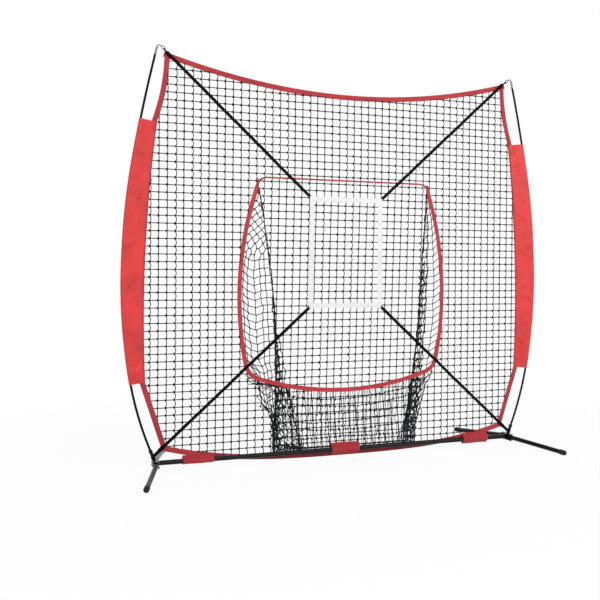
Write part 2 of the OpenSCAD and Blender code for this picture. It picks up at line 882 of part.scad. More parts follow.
module pocket_net() {
    columns = floor((fold_top_half_w - 3 * fold_cord_r) / mesh_x);
    color("black") {
        gusset();
        mirrored() gusset();
        for (k = [1 : pocket_rows - 1]) {
            z = pocket_low_z + k * mesh_z;
            pocket_row(z, -fold_x(z), fold_x(z), back_y(z), back_y(z));
        }
        for (k = [-columns : columns]) {
            x = k * mesh_x;
            inside_z = fold_height(abs(x) + 3 * fold_cord_r);
            back_column(x, max(belly_z, inside_z), pocket_high_z);
            if (inside_z < belly_z - mesh_z) back_column(x, max(pocket_low_z, inside_z), belly_z);
        }
    }
}

module top_binding() {
    xs = [for (k = [-edge_steps : edge_steps]) top_corner_x * k / edge_steps];
    color("crimson") upright(binding_y, binding_t) polygon(concat(
        [for (x = xs) [x, top_edge_z(x) - binding_w]],
        [for (k = [len(xs) - 1 : -1 : 0]) [xs[k], top_edge_z(xs[k])]]
    ));
}

module bottom_binding() {
    xs = [for (k = [-edge_steps : edge_steps]) bottom_corner_x * k / edge_steps];
    color("crimson") upright(binding_y, binding_t) polygon(concat(
        [for (x = xs) [x, bottom_edge_z(x)]],
        [for (k = [len(xs) - 1 : -1 : 0]) [xs[k], bottom_edge_z(xs[k]) + binding_w]]
    ));
}

// The side bindings stop just short of the other two
module right_binding() {
    last = len(side_heights) - 1;
    color("crimson") upright(binding_y, binding_t) intersection() {
        between_edges(binding_w + fit_gap);
        polygon(concat(
            [for (z = side_heights) [side_edge_x(z), z]],
            [for (k = [last : -1 : 0]) [side_edge_x(side_heights[k]) - binding_w, side_heights[k]]]
        ));
    }
}

module left_binding() {
    mirrored() right_binding();
}

// The trim is narrower along the top: there its inner edge is raised
module mouth_trim() {
    color("crimson") upright(binding_y, binding_t) difference() {
        mouth_area(0);
        mouth_area(trim_w);
        intersection() {
            translate([0, trim_w - trim_top_w]) mouth_area(trim_w);
            translate([-mouth_half_w, mouth_mid_z]) square([2 * mouth_half_w, mouth_top_z]);
        }
    }
}

// One closed ring of the sleeve, square to the pole, from a loop round it to a hem at the net's edge
function sleeve_ring(z, grow) =
    let (
        hem_z = z + (pole_x(z) - side_edge_x(z)) * pole_slope(z),
        hem_x = side_edge_x(hem_z) + fit_gap + sleeve_cloth + sleeve_hem_r,
        pegs = [[pole_x(z), 0, sleeve_bore_r], [hem_x, binding_y + binding_t / 2, sleeve_hem_r]]
    )
    [
        for (p = band_outline(pegs, sleeve_peg_steps, grow))
            [p[0], p[1], z + (pole_x(z) - p[0]) * pole_slope(z)]
    ];

module right_sleeve() {
    n = 2 * (sleeve_peg_steps + 1);
    zs = [for (k = [0 : sleeve_steps]) lerp(sleeve_bottom_z, sleeve_top_z, k / sleeve_steps)];
    outer = [for (z = zs) each sleeve_ring(z, sleeve_cloth)];
    inner = [for (z = zs) each sleeve_ring(z, 0)];
    m = len(outer);
    walls = [
        for (k = [0 : sleeve_steps - 1], i = [0 : n - 1])
            let (a = k * n + i, b = k * n + (i + 1) % n)
            each [
                [a, a + n, b],
                [b, a + n, b + n],
                [m + a, m + b, m + a + n],
                [m + b, m + b + n, m + a + n]
            ]
    ];
    top = sleeve_steps * n;
    ends = [
        for (i = [0 : n - 1])
            let (j = (i + 1) % n)
            each [
                [i, j, m + i],
                [j, m + j, m + i],
                [top + i, m + top + i, top + j],
                [top + j, m + top + i, m + top + j]
            ]
    ];
    color("red") polyhedron(points = concat(outer, inner), faces = concat(walls, ends), convexity = 4);
}

module left_sleeve() {
    mirrored() right_sleeve();
}

// Loop of cloth round the base tube, its flat back against the net's binding
module base_wrap(x) {
    tip_y = wrap_bore_r - wrap_tip_r;
    tip_in = wrap_tip_r + wrap_cloth;
    pegs = [
        [tip_y, wrap_above - tip_in, wrap_tip_r],
        [0, 0, wrap_bore_r],
        [tip_y, tip_in - wrap_below, wrap_tip_r]
    ];
    color("red") translate([x - wrap_len / 2, 0, base_height])
        rotate([90, 0, 90]) linear_extrude(wrap_len) difference() {
            polygon(band_outline(pegs, 12, wrap_cloth));
            polygon(band_outline(pegs, 12));
        }
}

module left_base_wrap() {
    base_wrap(-outer_wrap_x);
}

module middle_base_wrap() {
    base_wrap(0);
}

module right_base_wrap() {
    base_wrap(outer_wrap_x);
}

// Two upright strips in front of two level ones
module strike_zone() {
    level_y = strap_y - layer_gap - zone_web_t;
    upright_y = level_y - layer_gap - zone_web_t;
    color("white") {
        for (x = [-zone_w / 2, zone_w / 2 - zone_web_w])
            upright(upright_y, zone_web_t) translate([x, zone_bottom_z]) square([zone_web_w, zone_h]);
        for (z = [zone_bottom_z, zone_top_z - zone_web_w])
            upright(level_y, zone_web_t) translate([-zone_w / 2, z]) square([zone_w, zone_web_w]);
    }
}

// Straight strip of webbing from a point, along a direction in the XZ plane
module strip(start, dir, length, width, y, t) {
    upright(y, t) translate(start) rotate(atan2(dir[1], dir[0]))
        translate([0, -width / 2]) square([length, width]);
}

module upper_right_strap() {
    reach = norm([eye[0], eye[1]] - upper_strap_start) - upper_tab_u - strap_end_gap;
    color("black") strip(upper_strap_start, upper_strap_dir, reach, strap_w, strap_y, strap_t);
}

module upper_left_strap() {
    mirrored() upper_right_strap();
}

// The lower strap ends in a loop round the pole socket
module lower_right_strap() {
    reach = norm([strap_foot[0], strap_foot[1]] - lower_strap_start);
    color("black") {
        difference() {
            union() {
                strip(lower_strap_start, lower_strap_dir, reach, strap_w, strap_y, strap_t);
                at_station(ahead(strap_foot, -strap_w / 2)) cylinder(r = strap_y + strap_t, h = strap_w);
            }
            at_station(ahead(strap_foot, -strap_w)) cylinder(r = strap_y, h = 2 * strap_w);
        }
    }
}

module lower_left_strap() {
    mirrored() lower_right_strap();
}

// Folded webbing patch on the face of a corner, under the strap
module corner_patch(start, dir, along) {
    strip(start + along * dir, dir, tab_len, tab_w, tab_y, tab_t);
}

// The upper patch ends in a loop through the hook's eye
module upper_corner_tab() {
    away = -upper_strap_dir;
    pegs = [[loop_peg_u, 0, loop_peg_r], [upper_tab_u, loop_tip_y, loop_tip_r]];
    translate([eye[0], 0, eye[1]]) rotate([0, -atan2(away[1], away[0]), 0])
        translate([0, 0, -loop_w / 2]) linear_extrude(loop_w) difference() {
            polygon(band_outline(pegs, 12, strap_t));
            polygon(band_outline(pegs, 12));
        }
    corner_patch([eye[0], eye[1]], away, upper_tab_u);
}

module lower_corner_tab() {
    corner_patch([strap_foot[0], strap_foot[1]], -lower_strap_dir, lower_tab_u);
}

module corner_tabs() {
    color("black") {
        upper_corner_tab();
        lower_corner_tab();
        mirrored() {
            upper_corner_tab();
            lower_corner_tab();
        }
    }
}

base_tube_left();
base_tube_middle();
base_tube_right();
left_snap_button();
right_snap_button();
left_snap_spring();
right_snap_spring();
left_hub();
right_hub();
left_front_leg();
left_rear_leg();
right_front_leg();
right_rear_leg();
left_front_foot_cap();
left_rear_foot_cap();
right_front_foot_cap();
right_rear_foot_cap();
left_pivot_bolts();
right_pivot_bolts();
left_pivot_nuts();
right_pivot_nuts();
left_pivot_washers();
right_pivot_washers();
left_pole_section_1();
left_pole_section_2();
left_pole_section_3();
left_pole_section_4();
right_pole_section_1();
right_pole_section_2();
right_pole_section_3();
right_pole_section_4();
left_pole_ferrules();
right_pole_ferrules();
left_top_hook();
right_top_hook();
main_net();
pocket_net();
top_binding();
bottom_binding();
left_binding();
right_binding();
mouth_trim();
left_sleeve();
right_sleeve();
left_base_wrap();
middle_base_wrap();
right_base_wrap();
strike_zone();
upper_left_strap();
upper_right_strap();
lower_left_strap();
lower_right_strap();
corner_tabs();
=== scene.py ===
"""Bow-framed ball net: its looks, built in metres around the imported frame.

+X runs along the base tube, +Y back through the net and +Z up. Each piece of cloth, webbing or
netting takes the place of its plain CAD solid, and so do the lowest and the highest rod of each
pole; the steel, the rubber and the other rods stay CAD.
"""

import json
import math

import bpy
import numpy as np
from mathutils import Euler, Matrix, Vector


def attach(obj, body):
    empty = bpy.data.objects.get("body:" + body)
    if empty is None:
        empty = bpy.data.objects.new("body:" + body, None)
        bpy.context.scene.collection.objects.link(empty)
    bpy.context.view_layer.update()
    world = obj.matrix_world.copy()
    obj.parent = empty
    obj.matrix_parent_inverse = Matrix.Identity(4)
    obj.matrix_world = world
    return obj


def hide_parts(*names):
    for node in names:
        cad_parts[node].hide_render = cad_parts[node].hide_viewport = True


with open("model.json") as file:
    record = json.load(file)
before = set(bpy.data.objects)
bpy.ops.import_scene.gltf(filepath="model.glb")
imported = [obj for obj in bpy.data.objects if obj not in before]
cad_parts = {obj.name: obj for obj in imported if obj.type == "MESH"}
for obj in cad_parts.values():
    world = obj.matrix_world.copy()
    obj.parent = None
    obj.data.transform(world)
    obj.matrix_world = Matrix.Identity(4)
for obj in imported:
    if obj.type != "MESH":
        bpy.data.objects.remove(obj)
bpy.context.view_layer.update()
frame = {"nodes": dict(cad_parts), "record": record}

# ---------------- sizes, as in the CAD source

BASE_Z = 0.040
TUBE_R = 0.0127
HUB_X = 1.067
POLE_LEAN = math.radians(22)
ARC_LEN = 0.470
TURNS = [math.radians(t) for t in (15, 9.5, 7.5, 3.5)]
FERRULE_LEN = 0.060
SOCKET_END = 0.0173 / math.cos(POLE_LEAN) + 0.054
POLE_BARE = 0.008
POLE_END = 0.025
HOOK_RISE = 0.018
HOOK_BEND_R = 0.010
HOOK_TURN = math.radians(110)
EYE_REACH = 0.019

MESH_X = 0.044
MESH_Z = 0.040
NET_Y = 0.0165
BINDING_W = 0.028
BINDING_T = 0.0034
TOP_SAG = 0.146
CORNER_IN = 0.010
CORNER_DROP = 0.014
BOTTOM_CLEAR = 0.003
BOTTOM_CORNER = (1.030, 0.098)

MOUTH_HALF = 0.630
MOUTH_MID_Z = 0.900
MOUTH_TOP_Z = 1.545
MOUTH_LIP_Z = 0.357
MOUTH_SIDE_R = 1.866
MOUTH_LIP_R = 1.634
MOUTH_UPPER_R = 0.070
MOUTH_LOWER_R = 0.120
TRIM_W = 0.024
TRIM_TOP_W = 0.009
POCKET_Y = 0.0194
POCKET_DEPTH = 0.060
BELLY_Z = 0.350
POCKET_BASE_Z = 0.030

SLEEVE_TOP_Z = 1.810
SLEEVE_BOTTOM_Z = 0.450
SLEEVE_TOP_W = 0.061
SLEEVE_BOTTOM_W = 0.049
SIDE_BULGE = 0.030
SIDE_SWING = 2
SLEEVE_BORE_R = 0.00695
SLEEVE_CLOTH = 0.001

# ---------------- lines of the frame


def lerp(a, b, t):
    return a + (b - a) * t


def ahead(station, d):
    """Station [x, z, heading] a distance further on, the heading outward from upright."""
    x, z, a = station
    return x + d * math.sin(a), z + d * math.cos(a), a


def round_bend(station, r, turn):
    x, z, a = station
    return x + r * (math.cos(a - turn) - math.cos(a)), z + r * (math.sin(a) - math.sin(a - turn)), a - turn


def pole_line():
    """Points [x, z] along the right pole's bends, and the centre of its hook's eye."""
    station = ahead((HUB_X, BASE_Z, POLE_LEAN), SOCKET_END + POLE_BARE)
    points = []
    for turn in TURNS:
        r = ARC_LEN / turn
        points += [round_bend(station, r, turn * k / 8)[:2] for k in range(9)]
        last = round_bend(station, r, turn)
        station = ahead(last, FERRULE_LEN)
    top = ahead(last, POLE_END)
    bent = round_bend(ahead(top, HOOK_RISE), HOOK_BEND_R, HOOK_TURN)
    return np.array(points), ahead(bent, EYE_REACH)[:2]


POLE, EYE = pole_line()
TOP_CORNER = (EYE[0] - CORNER_IN, EYE[1] - CORNER_DROP)


def pole_x(z):
    return np.interp(z, POLE[:, 1], POLE[:, 0])


def pole_slope(z):
    step = 0.005
    return (pole_x(z + step) - pole_x(z - step)) / (2 * step)


def top_edge(x):
    return TOP_CORNER[1] - TOP_SAG * (1 - (x / TOP_CORNER[0]) ** 2)


def bottom_edge(x):
    return lerp(BOTTOM_CLEAR, BOTTOM_CORNER[1], (np.abs(x) / BOTTOM_CORNER[0]) ** 3)


def side_edge(z):
    """Half width of the net at a height."""
    z = np.asarray(z, float)
    top_x = pole_x(SLEEVE_TOP_Z) - SLEEVE_TOP_W
    bottom_x = pole_x(SLEEVE_BOTTOM_Z) - SLEEVE_BOTTOM_W
    share = (SLEEVE_TOP_Z - z) / (SLEEVE_TOP_Z - SLEEVE_BOTTOM_Z)
    above = (z - SLEEVE_TOP_Z) / (TOP_CORNER[1] - SLEEVE_TOP_Z)
    below = (SLEEVE_BOTTOM_Z - z) / (SLEEVE_BOTTOM_Z - BOTTOM_CORNER[1])
    middle = lerp(top_x, bottom_x, share) + 4 * SIDE_BULGE * share * (1 - share)
    upper = lerp(TOP_CORNER[0], top_x, np.maximum(1 - above, 0) ** SIDE_SWING)
    lower = lerp(bottom_x, BOTTOM_CORNER[0], below)
    return np.where(above > 0, upper, np.where(below > 0, lower, middle))


def arc(centre, r, a0, a1, steps):
    a = np.linspace(a0, a1, steps)[:, None]
    return np.array(centre) + r * np.hstack([np.cos(a), np.sin(a)])


def coords(*values):
    """Points from their coordinates, each of them an array or one value for all points."""
    return np.stack(np.broadcast_arrays(*values), -1)


def mouth_outline():
    """Closed outline of the mouth, counter-clockwise from the middle of the lip."""
    side = np.array([MOUTH_HALF - MOUTH_SIDE_R, MOUTH_MID_Z])
    lip = np.array([0, MOUTH_LIP_Z + MOUTH_LIP_R])
    r1, r2 = MOUTH_SIDE_R - MOUTH_LOWER_R, MOUTH_LIP_R - MOUTH_LOWER_R
    d = np.linalg.norm(lip - side)
    along = (r1 * r1 - r2 * r2 + d * d) / (2 * d)
    e = (lip - side) / d
    low = side + along * e + math.sqrt(r1 * r1 - along * along) * np.array([e[1], -e[0]])
    high_z = MOUTH_TOP_Z - MOUTH_UPPER_R
    reach = math.sqrt((MOUTH_SIDE_R - MOUTH_UPPER_R) ** 2 - (high_z - MOUTH_MID_Z) ** 2)
    high = side + [reach, high_z - side[1]]
    lip_a, low_a, high_a = (math.atan2(*v[::-1]) for v in (low - lip, low - side, high - side))
    half = np.vstack([
        arc(lip, MOUTH_LIP_R, -math.pi / 2, lip_a, 60),
        arc(low, MOUTH_LOWER_R, lip_a, low_a, 22)[1:],
        arc(side, MOUTH_SIDE_R, low_a, high_a, 110)[1:],
        arc(high, MOUTH_UPPER_R, high_a, math.pi / 2, 14)[1:],
    ])
    top = coords(np.linspace(half[-1][0], -half[-1][0], 70)[1:-1], half[-1][1])
    return np.vstack([half, top, half[:0:-1] * [-1, 1]])


MOUTH = mouth_outline()


def lookup(table, at):
    """Read a table of pairs: the second value, where the first is at."""
    return np.interp(at, *np.transpose(table))


def lengths(line, closed=False):
    """How far along a line each of its points is, and a closed line's whole length at last."""
    line = np.vstack([line, line[:1]]) if closed else line
    return np.concatenate([[0], np.cumsum(np.linalg.norm(np.diff(line, axis=0), axis=1))])


def walk(line, s, at):
    """Points of a line at the lengths at, where its own points are at the lengths s."""
    return np.stack([np.interp(at, s, values) for values in line.T], -1)


# ---------------- meshes


class Shape:
    """Points, faces and UVs in metres, gathered before they become one piece."""

    def __init__(self):
        self.points, self.faces, self.uvs, self.count = [], [], [], 0

    def add(self, points, faces, uvs):
        self.points.append(points)
        self.faces += [f + self.count for f in faces]
        self.uvs += uvs
        self.count += len(points)

    def copies(self, template, turns, places):
        """A template's mesh set at each place, turned by each 3x3 matrix."""
        points = np.concatenate(template.points)
        n = len(places)
        moved = np.einsum("nij,pj->npi", turns, points) + places[:, None, :]
        offsets = (np.arange(n) * len(points))[:, None, None]
        faces = [(f[None] + offsets).reshape(-1, f.shape[1]) for f in template.faces]
        uvs = [np.tile(u, (n, 1, 1)) for u in template.uvs]
        self.add(moved.reshape(-1, 3), faces, uvs)


def loft(shape, rings, closed=False):
    """Skin over rings of points; it is capped at both ends, or its last ring joins its first."""
    rings = np.asarray(rings, float)
    n, s = rings.shape[:2]
    i = np.arange(n if closed else n - 1)[:, None]
    j = np.arange(s)[None, :]
    i2, j2 = (i + 1) % n, (j + 1) % s
    faces = [coords(i * s + j, i * s + j2, i2 * s + j2, i2 * s + j).reshape(-1, 4)]
    u, v = lengths(rings.mean(1), closed=True), lengths(rings[n // 2], closed=True)
    corners = [(u[i], v[j]), (u[i], v[j + 1]), (u[i + 1], v[j + 1]), (u[i + 1], v[j])]
    uvs = [np.stack([coords(a, b) for a, b in corners], 2).reshape(-1, 4, 2)]
    if not closed:
        ends = np.array([np.arange(s)[::-1], (n - 1) * s + np.arange(s)])
        faces.append(ends)
        uvs.append(np.stack([u[[0, n - 1]][:, None] + 0 * v[:-1], v[None, :-1] + [[0], [0]]], -1))
    points = rings.reshape(-1, 3)
    about = points - points.mean(0)
    volume = 0.0
    for block in faces:
        for k in range(1, block.shape[1] - 1):
            a, b, c = (about[block[:, m]] for m in (0, k, k + 1))
            volume += np.einsum("ij,ij->", a, np.cross(b, c))
    if volume < 0:
        faces = [f[:, ::-1] for f in faces]
        uvs = [w[:, ::-1] for w in uvs]
    shape.add(points, faces, uvs)


def unit(v):
    return v / np.linalg.norm(v, axis=-1, keepdims=True)


def direction(path, closed):
    """Way that a path runs at each point, not yet of unit length."""
    return np.roll(path, -1, 0) - np.roll(path, 1, 0) if closed else np.gradient(path, axis=0)


def path_frames(path, up, closed):
    """Tangent and two directions square to it at each point of a path."""
    tangent = unit(direction(path, closed))
    first = unit(np.cross(tangent, np.broadcast_to(up, path.shape)))
    return tangent, first, np.cross(first, tangent)


def tube(shape, path, radius, sides=6, up=(0, 1, 0), closed=False):
    path = np.asarray(path, float)
    _, first, second = path_frames(path, up, closed)
    a = np.linspace(0, math.tau, sides, endpoint=False)[:, None]
    r = np.broadcast_to(radius, len(path))[:, None, None]
    loft(shape, path[:, None] + r * (np.cos(a) * first[:, None] + np.sin(a) * second[:, None]), closed)


def ribbon(shape, path, side, width, thickness, spans, closed=False):
    """Flat band with round edges along a path, its width along the direction side."""
    half, r = width / 2 - thickness / 2, thickness / 2
    a = np.radians([-60, 0, 60])
    edge = coords(half + r * np.cos(a), r * np.sin(a))
    flat = coords(np.linspace(half, -half, spans + 1), r)
    section = np.vstack([edge, flat, -edge, -flat])
    tangent, normal, _ = path_frames(path, side, closed)
    across = np.cross(normal, tangent)
    loft(shape, path[:, None] + section[:, :1] * across[:, None] + section[:, 1:] * normal[:, None], closed)


def placed(name, data):
    made = bpy.data.objects.new(name, data)
    bpy.context.scene.collection.objects.link(made)
    return made


def piece(shape, name, material, slot, *replaced, crease=40):
    mesh = bpy.data.meshes.new(name)
    faces = [f for block in shape.faces for f in block.tolist()]
    mesh.from_pydata(np.concatenate(shape.points).tolist(), [], faces)
    layer = mesh.uv_layers.new(name="UVMap")
    layer.data.foreach_set("uv", np.concatenate([w.ravel() for w in shape.uvs]).astype(np.float32))
    mesh.materials.append(material)
    mesh.shade_smooth()
    mesh.set_sharp_from_angle(angle=math.radians(crease))
    made = placed(name, mesh)
    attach(made, "frame")
    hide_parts(*replaced)
    return made


def shake(draw, reach, count=None):
    """Random offsets of up to reach either way."""
    return draw.uniform(-reach, reach, count)


def ripple(s, seed, waves, size):
    """Smooth repeatable unevenness along s: a sum of sines of the given wavelengths."""
    draw = np.random.default_rng(seed)
    total = np.zeros_like(s, float)
    for wave in waves:
        total += math.sqrt(2 / len(waves)) * np.sin(math.tau * (s / wave + draw.random()))
    return size * total


# ---------------- materials


class Nodes:
    """The node tree of a material or world, built up from short calls."""

    def __init__(self, owner):
        owner.use_nodes = True
        self.owner, self.tree = owner, owner.node_tree
        self.shader = self.tree.nodes.get("Principled BSDF")

    def feed(self, socket, value):
        if isinstance(value, bpy.types.NodeSocket):
            self.tree.links.new(value, socket)
        else:
            socket.default_value = value

    def add(self, kind, inputs=(), **settings):
        """Outputs of a new node."""
        node = self.tree.nodes.new("ShaderNode" + kind)
        for key, value in settings.items():
            setattr(node, key, value)
        for key, value in dict(inputs).items():
            self.feed(node.inputs[key], value)
        return node.outputs

    def math(self, operation, a, b=0.0):
        return self.add("Math", {0: a, 1: b}, operation=operation)[0]

    def times(self, a, b):
        return self.math("MULTIPLY", a, b)

    def plus(self, a, b):
        return self.math("ADD", a, b)

    def wave(self, value, pitch):
        """Sine of a value that swings once in each pitch."""
        return self.math("SINE", self.times(value, math.tau / pitch))

    def place(self, kind="Object"):
        return self.add("TexCoord")[kind]

    def split(self, kind):
        return self.add("SeparateXYZ", {"Vector": self.place(kind)})

    def noise(self, scale, detail=3.0, stretch=None):
        vector = self.place()
        if stretch:
            vector = self.add("Mapping", {"Vector": vector, "Scale": stretch})["Vector"]
        return self.add("TexNoise", {"Vector": vector, "Scale": scale, "Detail": detail})["Fac"]

    def grey(self, value, low, high):
        """value from 0 to 1, carried to low to high."""
        return self.add("MapRange", {"Value": value, "To Min": low, "To Max": high})["Result"]

    def colour(self, value, stops):
        """Colour of the material, from a value and a ramp."""
        node = self.tree.nodes.new("ShaderNodeValToRGB")
        self.feed(node.inputs["Fac"], value)
        first, last = node.color_ramp.elements
        first.position, first.color = stops[0][0], (*stops[0][1], 1)
        last.position, last.color = stops[-1][0], (*stops[-1][1], 1)
        for place, colour in stops[1:-1]:
            node.color_ramp.elements.new(place).color = (*colour, 1)
        self.set(Base_Color=node.outputs["Color"])

    def bump(self, height, distance, strength=1.0):
        inputs = {"Height": height, "Distance": distance, "Strength": strength}
        self.set(Normal=self.add("Bump", inputs)["Normal"])

    def set(self, **inputs):
        for key, value in inputs.items():
            self.feed(self.shader.inputs[key.replace("_", " ")], value)

    def show(self, kind, share, first, second):
        """Mix of two shaders as what the tree gives out."""
        mixed = self.add("MixShader", {"Fac": share, 1: first[0], 2: second[0]})
        self.add("Output" + kind, {"Surface": mixed[0]})


def shades(colour, spread, low, high):
    """Stops of a ramp from a darker to a lighter shade of a colour, a share away from it."""
    return [(at, tuple(min(1, c * (1 + s * spread)) for c in colour)) for s, at in ((-1, low), (1, high))]


def material(name):
    return Nodes(bpy.data.materials.new(name))


def woven(
    name, colour, pitch, roughness, sheen=0.05, spread=0.12, relief=0.0003, ribs=0.0, gloss=0.25, painted_shade_height=0.0
):
    """Cloth or webbing: threads at a pitch in the UVs' metres, and a painted shade that darkens it from the
    ground up to the height given last, standing in for shadow.
    """
    n = material(name)
    u, v = n.split("UV")[:2]
    weave = n.grey(n.times(n.wave(u, pitch), n.wave(v, pitch)), 0.0, 1.0)
    if ribs:
        weave = n.plus(weave, n.wave(v, ribs))
    cloud = n.noise(9.0)
    tone = n.plus(n.times(weave, 0.2), n.times(cloud, 0.8))
    stops = shades(colour, spread, 0.25, 0.75)
    # Painted shade: below the given height the colour darkens towards the ground, standing in for the shadow
    # under the base tube.
    if painted_shade_height:
        tone = n.times(tone, n.grey(n.math("DIVIDE", n.split("Object")["Z"], painted_shade_height), 0.12, 1.0))
        stops.insert(0, (0.0, (colour[0] * 0.18, colour[1] * 0.05, colour[2] * 0.15)))
    n.colour(tone, stops)
    n.set(Roughness=n.grey(cloud, roughness - 0.08, roughness + 0.08), Specular_IOR_Level=gloss)
    n.set(Sheen_Weight=sheen, Sheen_Roughness=0.5)
    n.bump(n.plus(weave, n.times(n.noise(60.0, 4.0), 1.5)), relief)
    return n.owner


def twisted(name, colour, radius, strands=3, turn=0.011):
    """Twine laid up from strands: they wind round the cord as its UVs run along it."""
    n = material(name)
    u, v = n.split("UV")[:2]
    wind = n.plus(n.times(u, strands / turn), n.times(v, strands / (math.tau * radius)))
    lay = n.grey(n.wave(wind, 1), 0.0, 1.0)
    n.colour(n.plus(n.times(lay, 0.6), n.times(n.noise(40.0), 0.4)), shades(colour, 0.5, 0.2, 0.9))
    n.set(Roughness=n.grey(lay, 0.6, 0.8), Specular_IOR_Level=0.2)
    n.bump(lay, 0.0004)
    return n.owner


def painted(name, colour, roughness, grain, relief, worn):
    """Powder coat: orange peel, cloudy gloss and paler rubbed patches."""
    n = material(name)
    patch = n.times(n.noise(6.0, 5.0), n.noise(55.0, 6.0))
    n.colour(patch, [(0.18, colour), (0.42, tuple(c + worn * 0.1 for c in colour))])
    n.set(Roughness=n.grey(patch, roughness - 0.06, roughness + 0.16), Specular_IOR_Level=0.16)
    n.bump(n.noise(grain, 2.0), relief, 0.6)
    return n.owner


def bare_metal(name, colour, roughness, spangle, stretch=(1, 1, 1)):
    """Plated or drawn metal: soft spangle, fine scratches and duller spots."""
    n = material(name)
    scratch = n.noise(900.0, 2.0, stretch)
    patch = n.noise(spangle, 4.0)
    n.colour(patch, shades(colour, 0.14, 0.3, 0.7))
    rough = n.plus(n.times(scratch, 0.12), n.grey(patch, roughness - 0.08, roughness + 0.06))
    n.set(Roughness=rough, Metallic=1.0)
    n.bump(scratch, 0.00003, 0.5)
    return n.owner


def rubber(name, colour):
    n = material(name)
    dust = n.noise(30.0, 5.0)
    n.colour(dust, [(0.35, colour), (0.8, tuple(c * 2.2 for c in colour))])
    n.set(Roughness=n.grey(dust, 0.68, 0.9), Specular_IOR_Level=0.2)
    n.bump(n.noise(700.0, 2.0), 0.00008, 0.7)
    return n.owner


def fibreglass(name, colour):
    """Pultruded rod: resin over fine fibres that run along the pole."""
    n = material(name)
    fibre = n.noise(1400.0, 2.0, (1, 1, 0.02))
    n.colour(fibre, shades(colour, 0.5, 0.3, 0.7))
    n.set(Roughness=n.grey(n.noise(12.0), 0.38, 0.54), Specular_IOR_Level=0.06)
    n.bump(fibre, 0.00004, 0.6)
    return n.owner


RED = (0.70, 0.031, 0.029)
TRIM_RED = (0.49, 0.044, 0.054)
WHITE = (0.90, 0.905, 0.91)
BLACK = (0.004, 0.004, 0.005)
TWINE_R = 0.0026
GUSSET_CORD_R = 0.0024
FRONT_CORD_R = 0.00175

twine_look = twisted("net twine", (0.011, 0.013, 0.015), TWINE_R)
sleeve_look = woven("sleeve cloth", RED, 0.0011, 0.40, spread=0.24, gloss=0.38)
wrap_look = woven("wrap cloth", (0.44, 0.028, 0.038), 0.0011, 0.62)
# The binding tape darkens below 0.085 m: painted shade for the shadow under the base tube.
trim_look = woven("binding tape", TRIM_RED, 0.0014, 0.7, ribs=0.0028, painted_shade_height=0.085)
white_look = woven("white webbing", WHITE, 0.0016, 0.72, 0.05, 0.06, 0.0004, ribs=0.0032)
black_look = woven("black webbing", BLACK, 0.0016, 0.7, 0.0, 0.3, 0.0004, ribs=0.0032, gloss=0.06)
thread_look = twisted("sewing thread", (0.70, 0.10, 0.10), 0.0003, turn=0.002)
white_thread_look = twisted("white thread", (0.62, 0.63, 0.64), 0.0003, turn=0.002)

cad_looks = {
    "black_steel": painted("black powder coat", (0.004, 0.004, 0.005), 0.22, 420.0, 0.00004, 0.04),
    "zinc_steel": bare_metal("zinc plate", (0.46, 0.46, 0.45), 0.42, 160.0),
    "polished_steel": bare_metal("drawn steel", (0.19, 0.19, 0.20), 0.35, 60.0, (1, 1, 0.1)),
    "black_rubber": rubber("moulded rubber", (0.012, 0.012, 0.013)),
    "black_fibreglass": fibreglass("pultruded rod", (0.003, 0.003, 0.004)),
}
node_slots = {row["node"]: row["material_slot"] for row in frame["record"]["subparts"]}
for node_name, cad in frame["nodes"].items():
    look = cad_looks.get(node_slots[node_name])
    if look:
        cad.data.materials.clear()
        cad.data.materials.append(look)

# ---------------- netting

KNOT_SIZE = 0.0056
KNOT_TWIST = 0.4
KNOT_SPREAD = (0.85, 1.15)
SPANS = 6
LOOSE = 0.0065
TUCK = 0.006
SHORTEST_CORD = 0.01
NET_REACH = 1.2
NET_CEILING = 2.2
PANEL_REACH = 0.6
KNOT_INSIDE = 0.004
BOW = (0.15, 1.2)
NEAR = 0.001


def mouth_distance(x, z):
    """Distance of points outside the mouth's outline, negative inside it."""
    a, b = MOUTH, np.roll(MOUTH, -1, 0)
    p, d = coords(x, z), b - a
    share = np.clip(((p[:, None] - a) * d).sum(2) / (d * d).sum(1), 0, 1)
    gap = np.linalg.norm(p[:, None] - (a + share[..., None] * d), axis=2).min(1)
    crosses = (a[:, 1] > p[:, 1:]) != (b[:, 1] > p[:, 1:])
    at = a[:, 0] + (p[:, 1:] - a[:, 1]) * d[:, 0] / np.where(d[:, 1] == 0, 1e-9, d[:, 1])
    inside = (crosses & (p[:, :1] < at)).sum(1) % 2 == 1
    return np.where(inside, -gap, gap)


# Where the pocket's sides hang below the lip's ends, on the left and on the right: [z, x]
LEFT_SIDE = [(0.05, -0.419), (0.22, -0.426), (0.27, -0.446), (0.30, -0.490), (0.46, -0.520), (0.52, -0.556)]
RIGHT_SIDE = [(0.06, 0.449), (0.15, 0.458), (0.26, 0.489), (0.36, 0.516), (0.43, 0.557), (0.47, 0.566)]


def net_depth(x, z):
    """Distance inside the net's bound edges, negative outside, in the mouth and behind the pocket."""
    edges = np.minimum(np.minimum(top_edge(x) - z, z - bottom_edge(x)), side_edge(z) - np.abs(x))
    out = np.minimum(edges - BINDING_W + TUCK, mouth_distance(x, z) + TUCK)
    beside = np.maximum(lookup(LEFT_SIDE, z) - x, x - lookup(RIGHT_SIDE, z))
    return np.minimum(out, np.maximum(beside, z - LEFT_SIDE[-1][0]))


def runs(t, depth):
    """Stretches of t where depth is above zero, their ends found between the samples."""
    inside = depth > 0
    k = np.flatnonzero(inside[1:] != inside[:-1])
    cuts = t[k] + (t[k + 1] - t[k]) * depth[k] / (depth[k] - depth[k + 1])
    ends = np.concatenate([t[:1][inside[:1]], cuts, t[-1:][inside[-1:]]]).reshape(-1, 2)
    return ends[ends[:, 1] - ends[:, 0] > SHORTEST_CORD]


def samples(t, start, end):
    """The two ends of a stretch of t, and the samples between them."""
    return np.concatenate([[start], t[(t > start + NEAR) & (t < end - NEAR)], [end]])


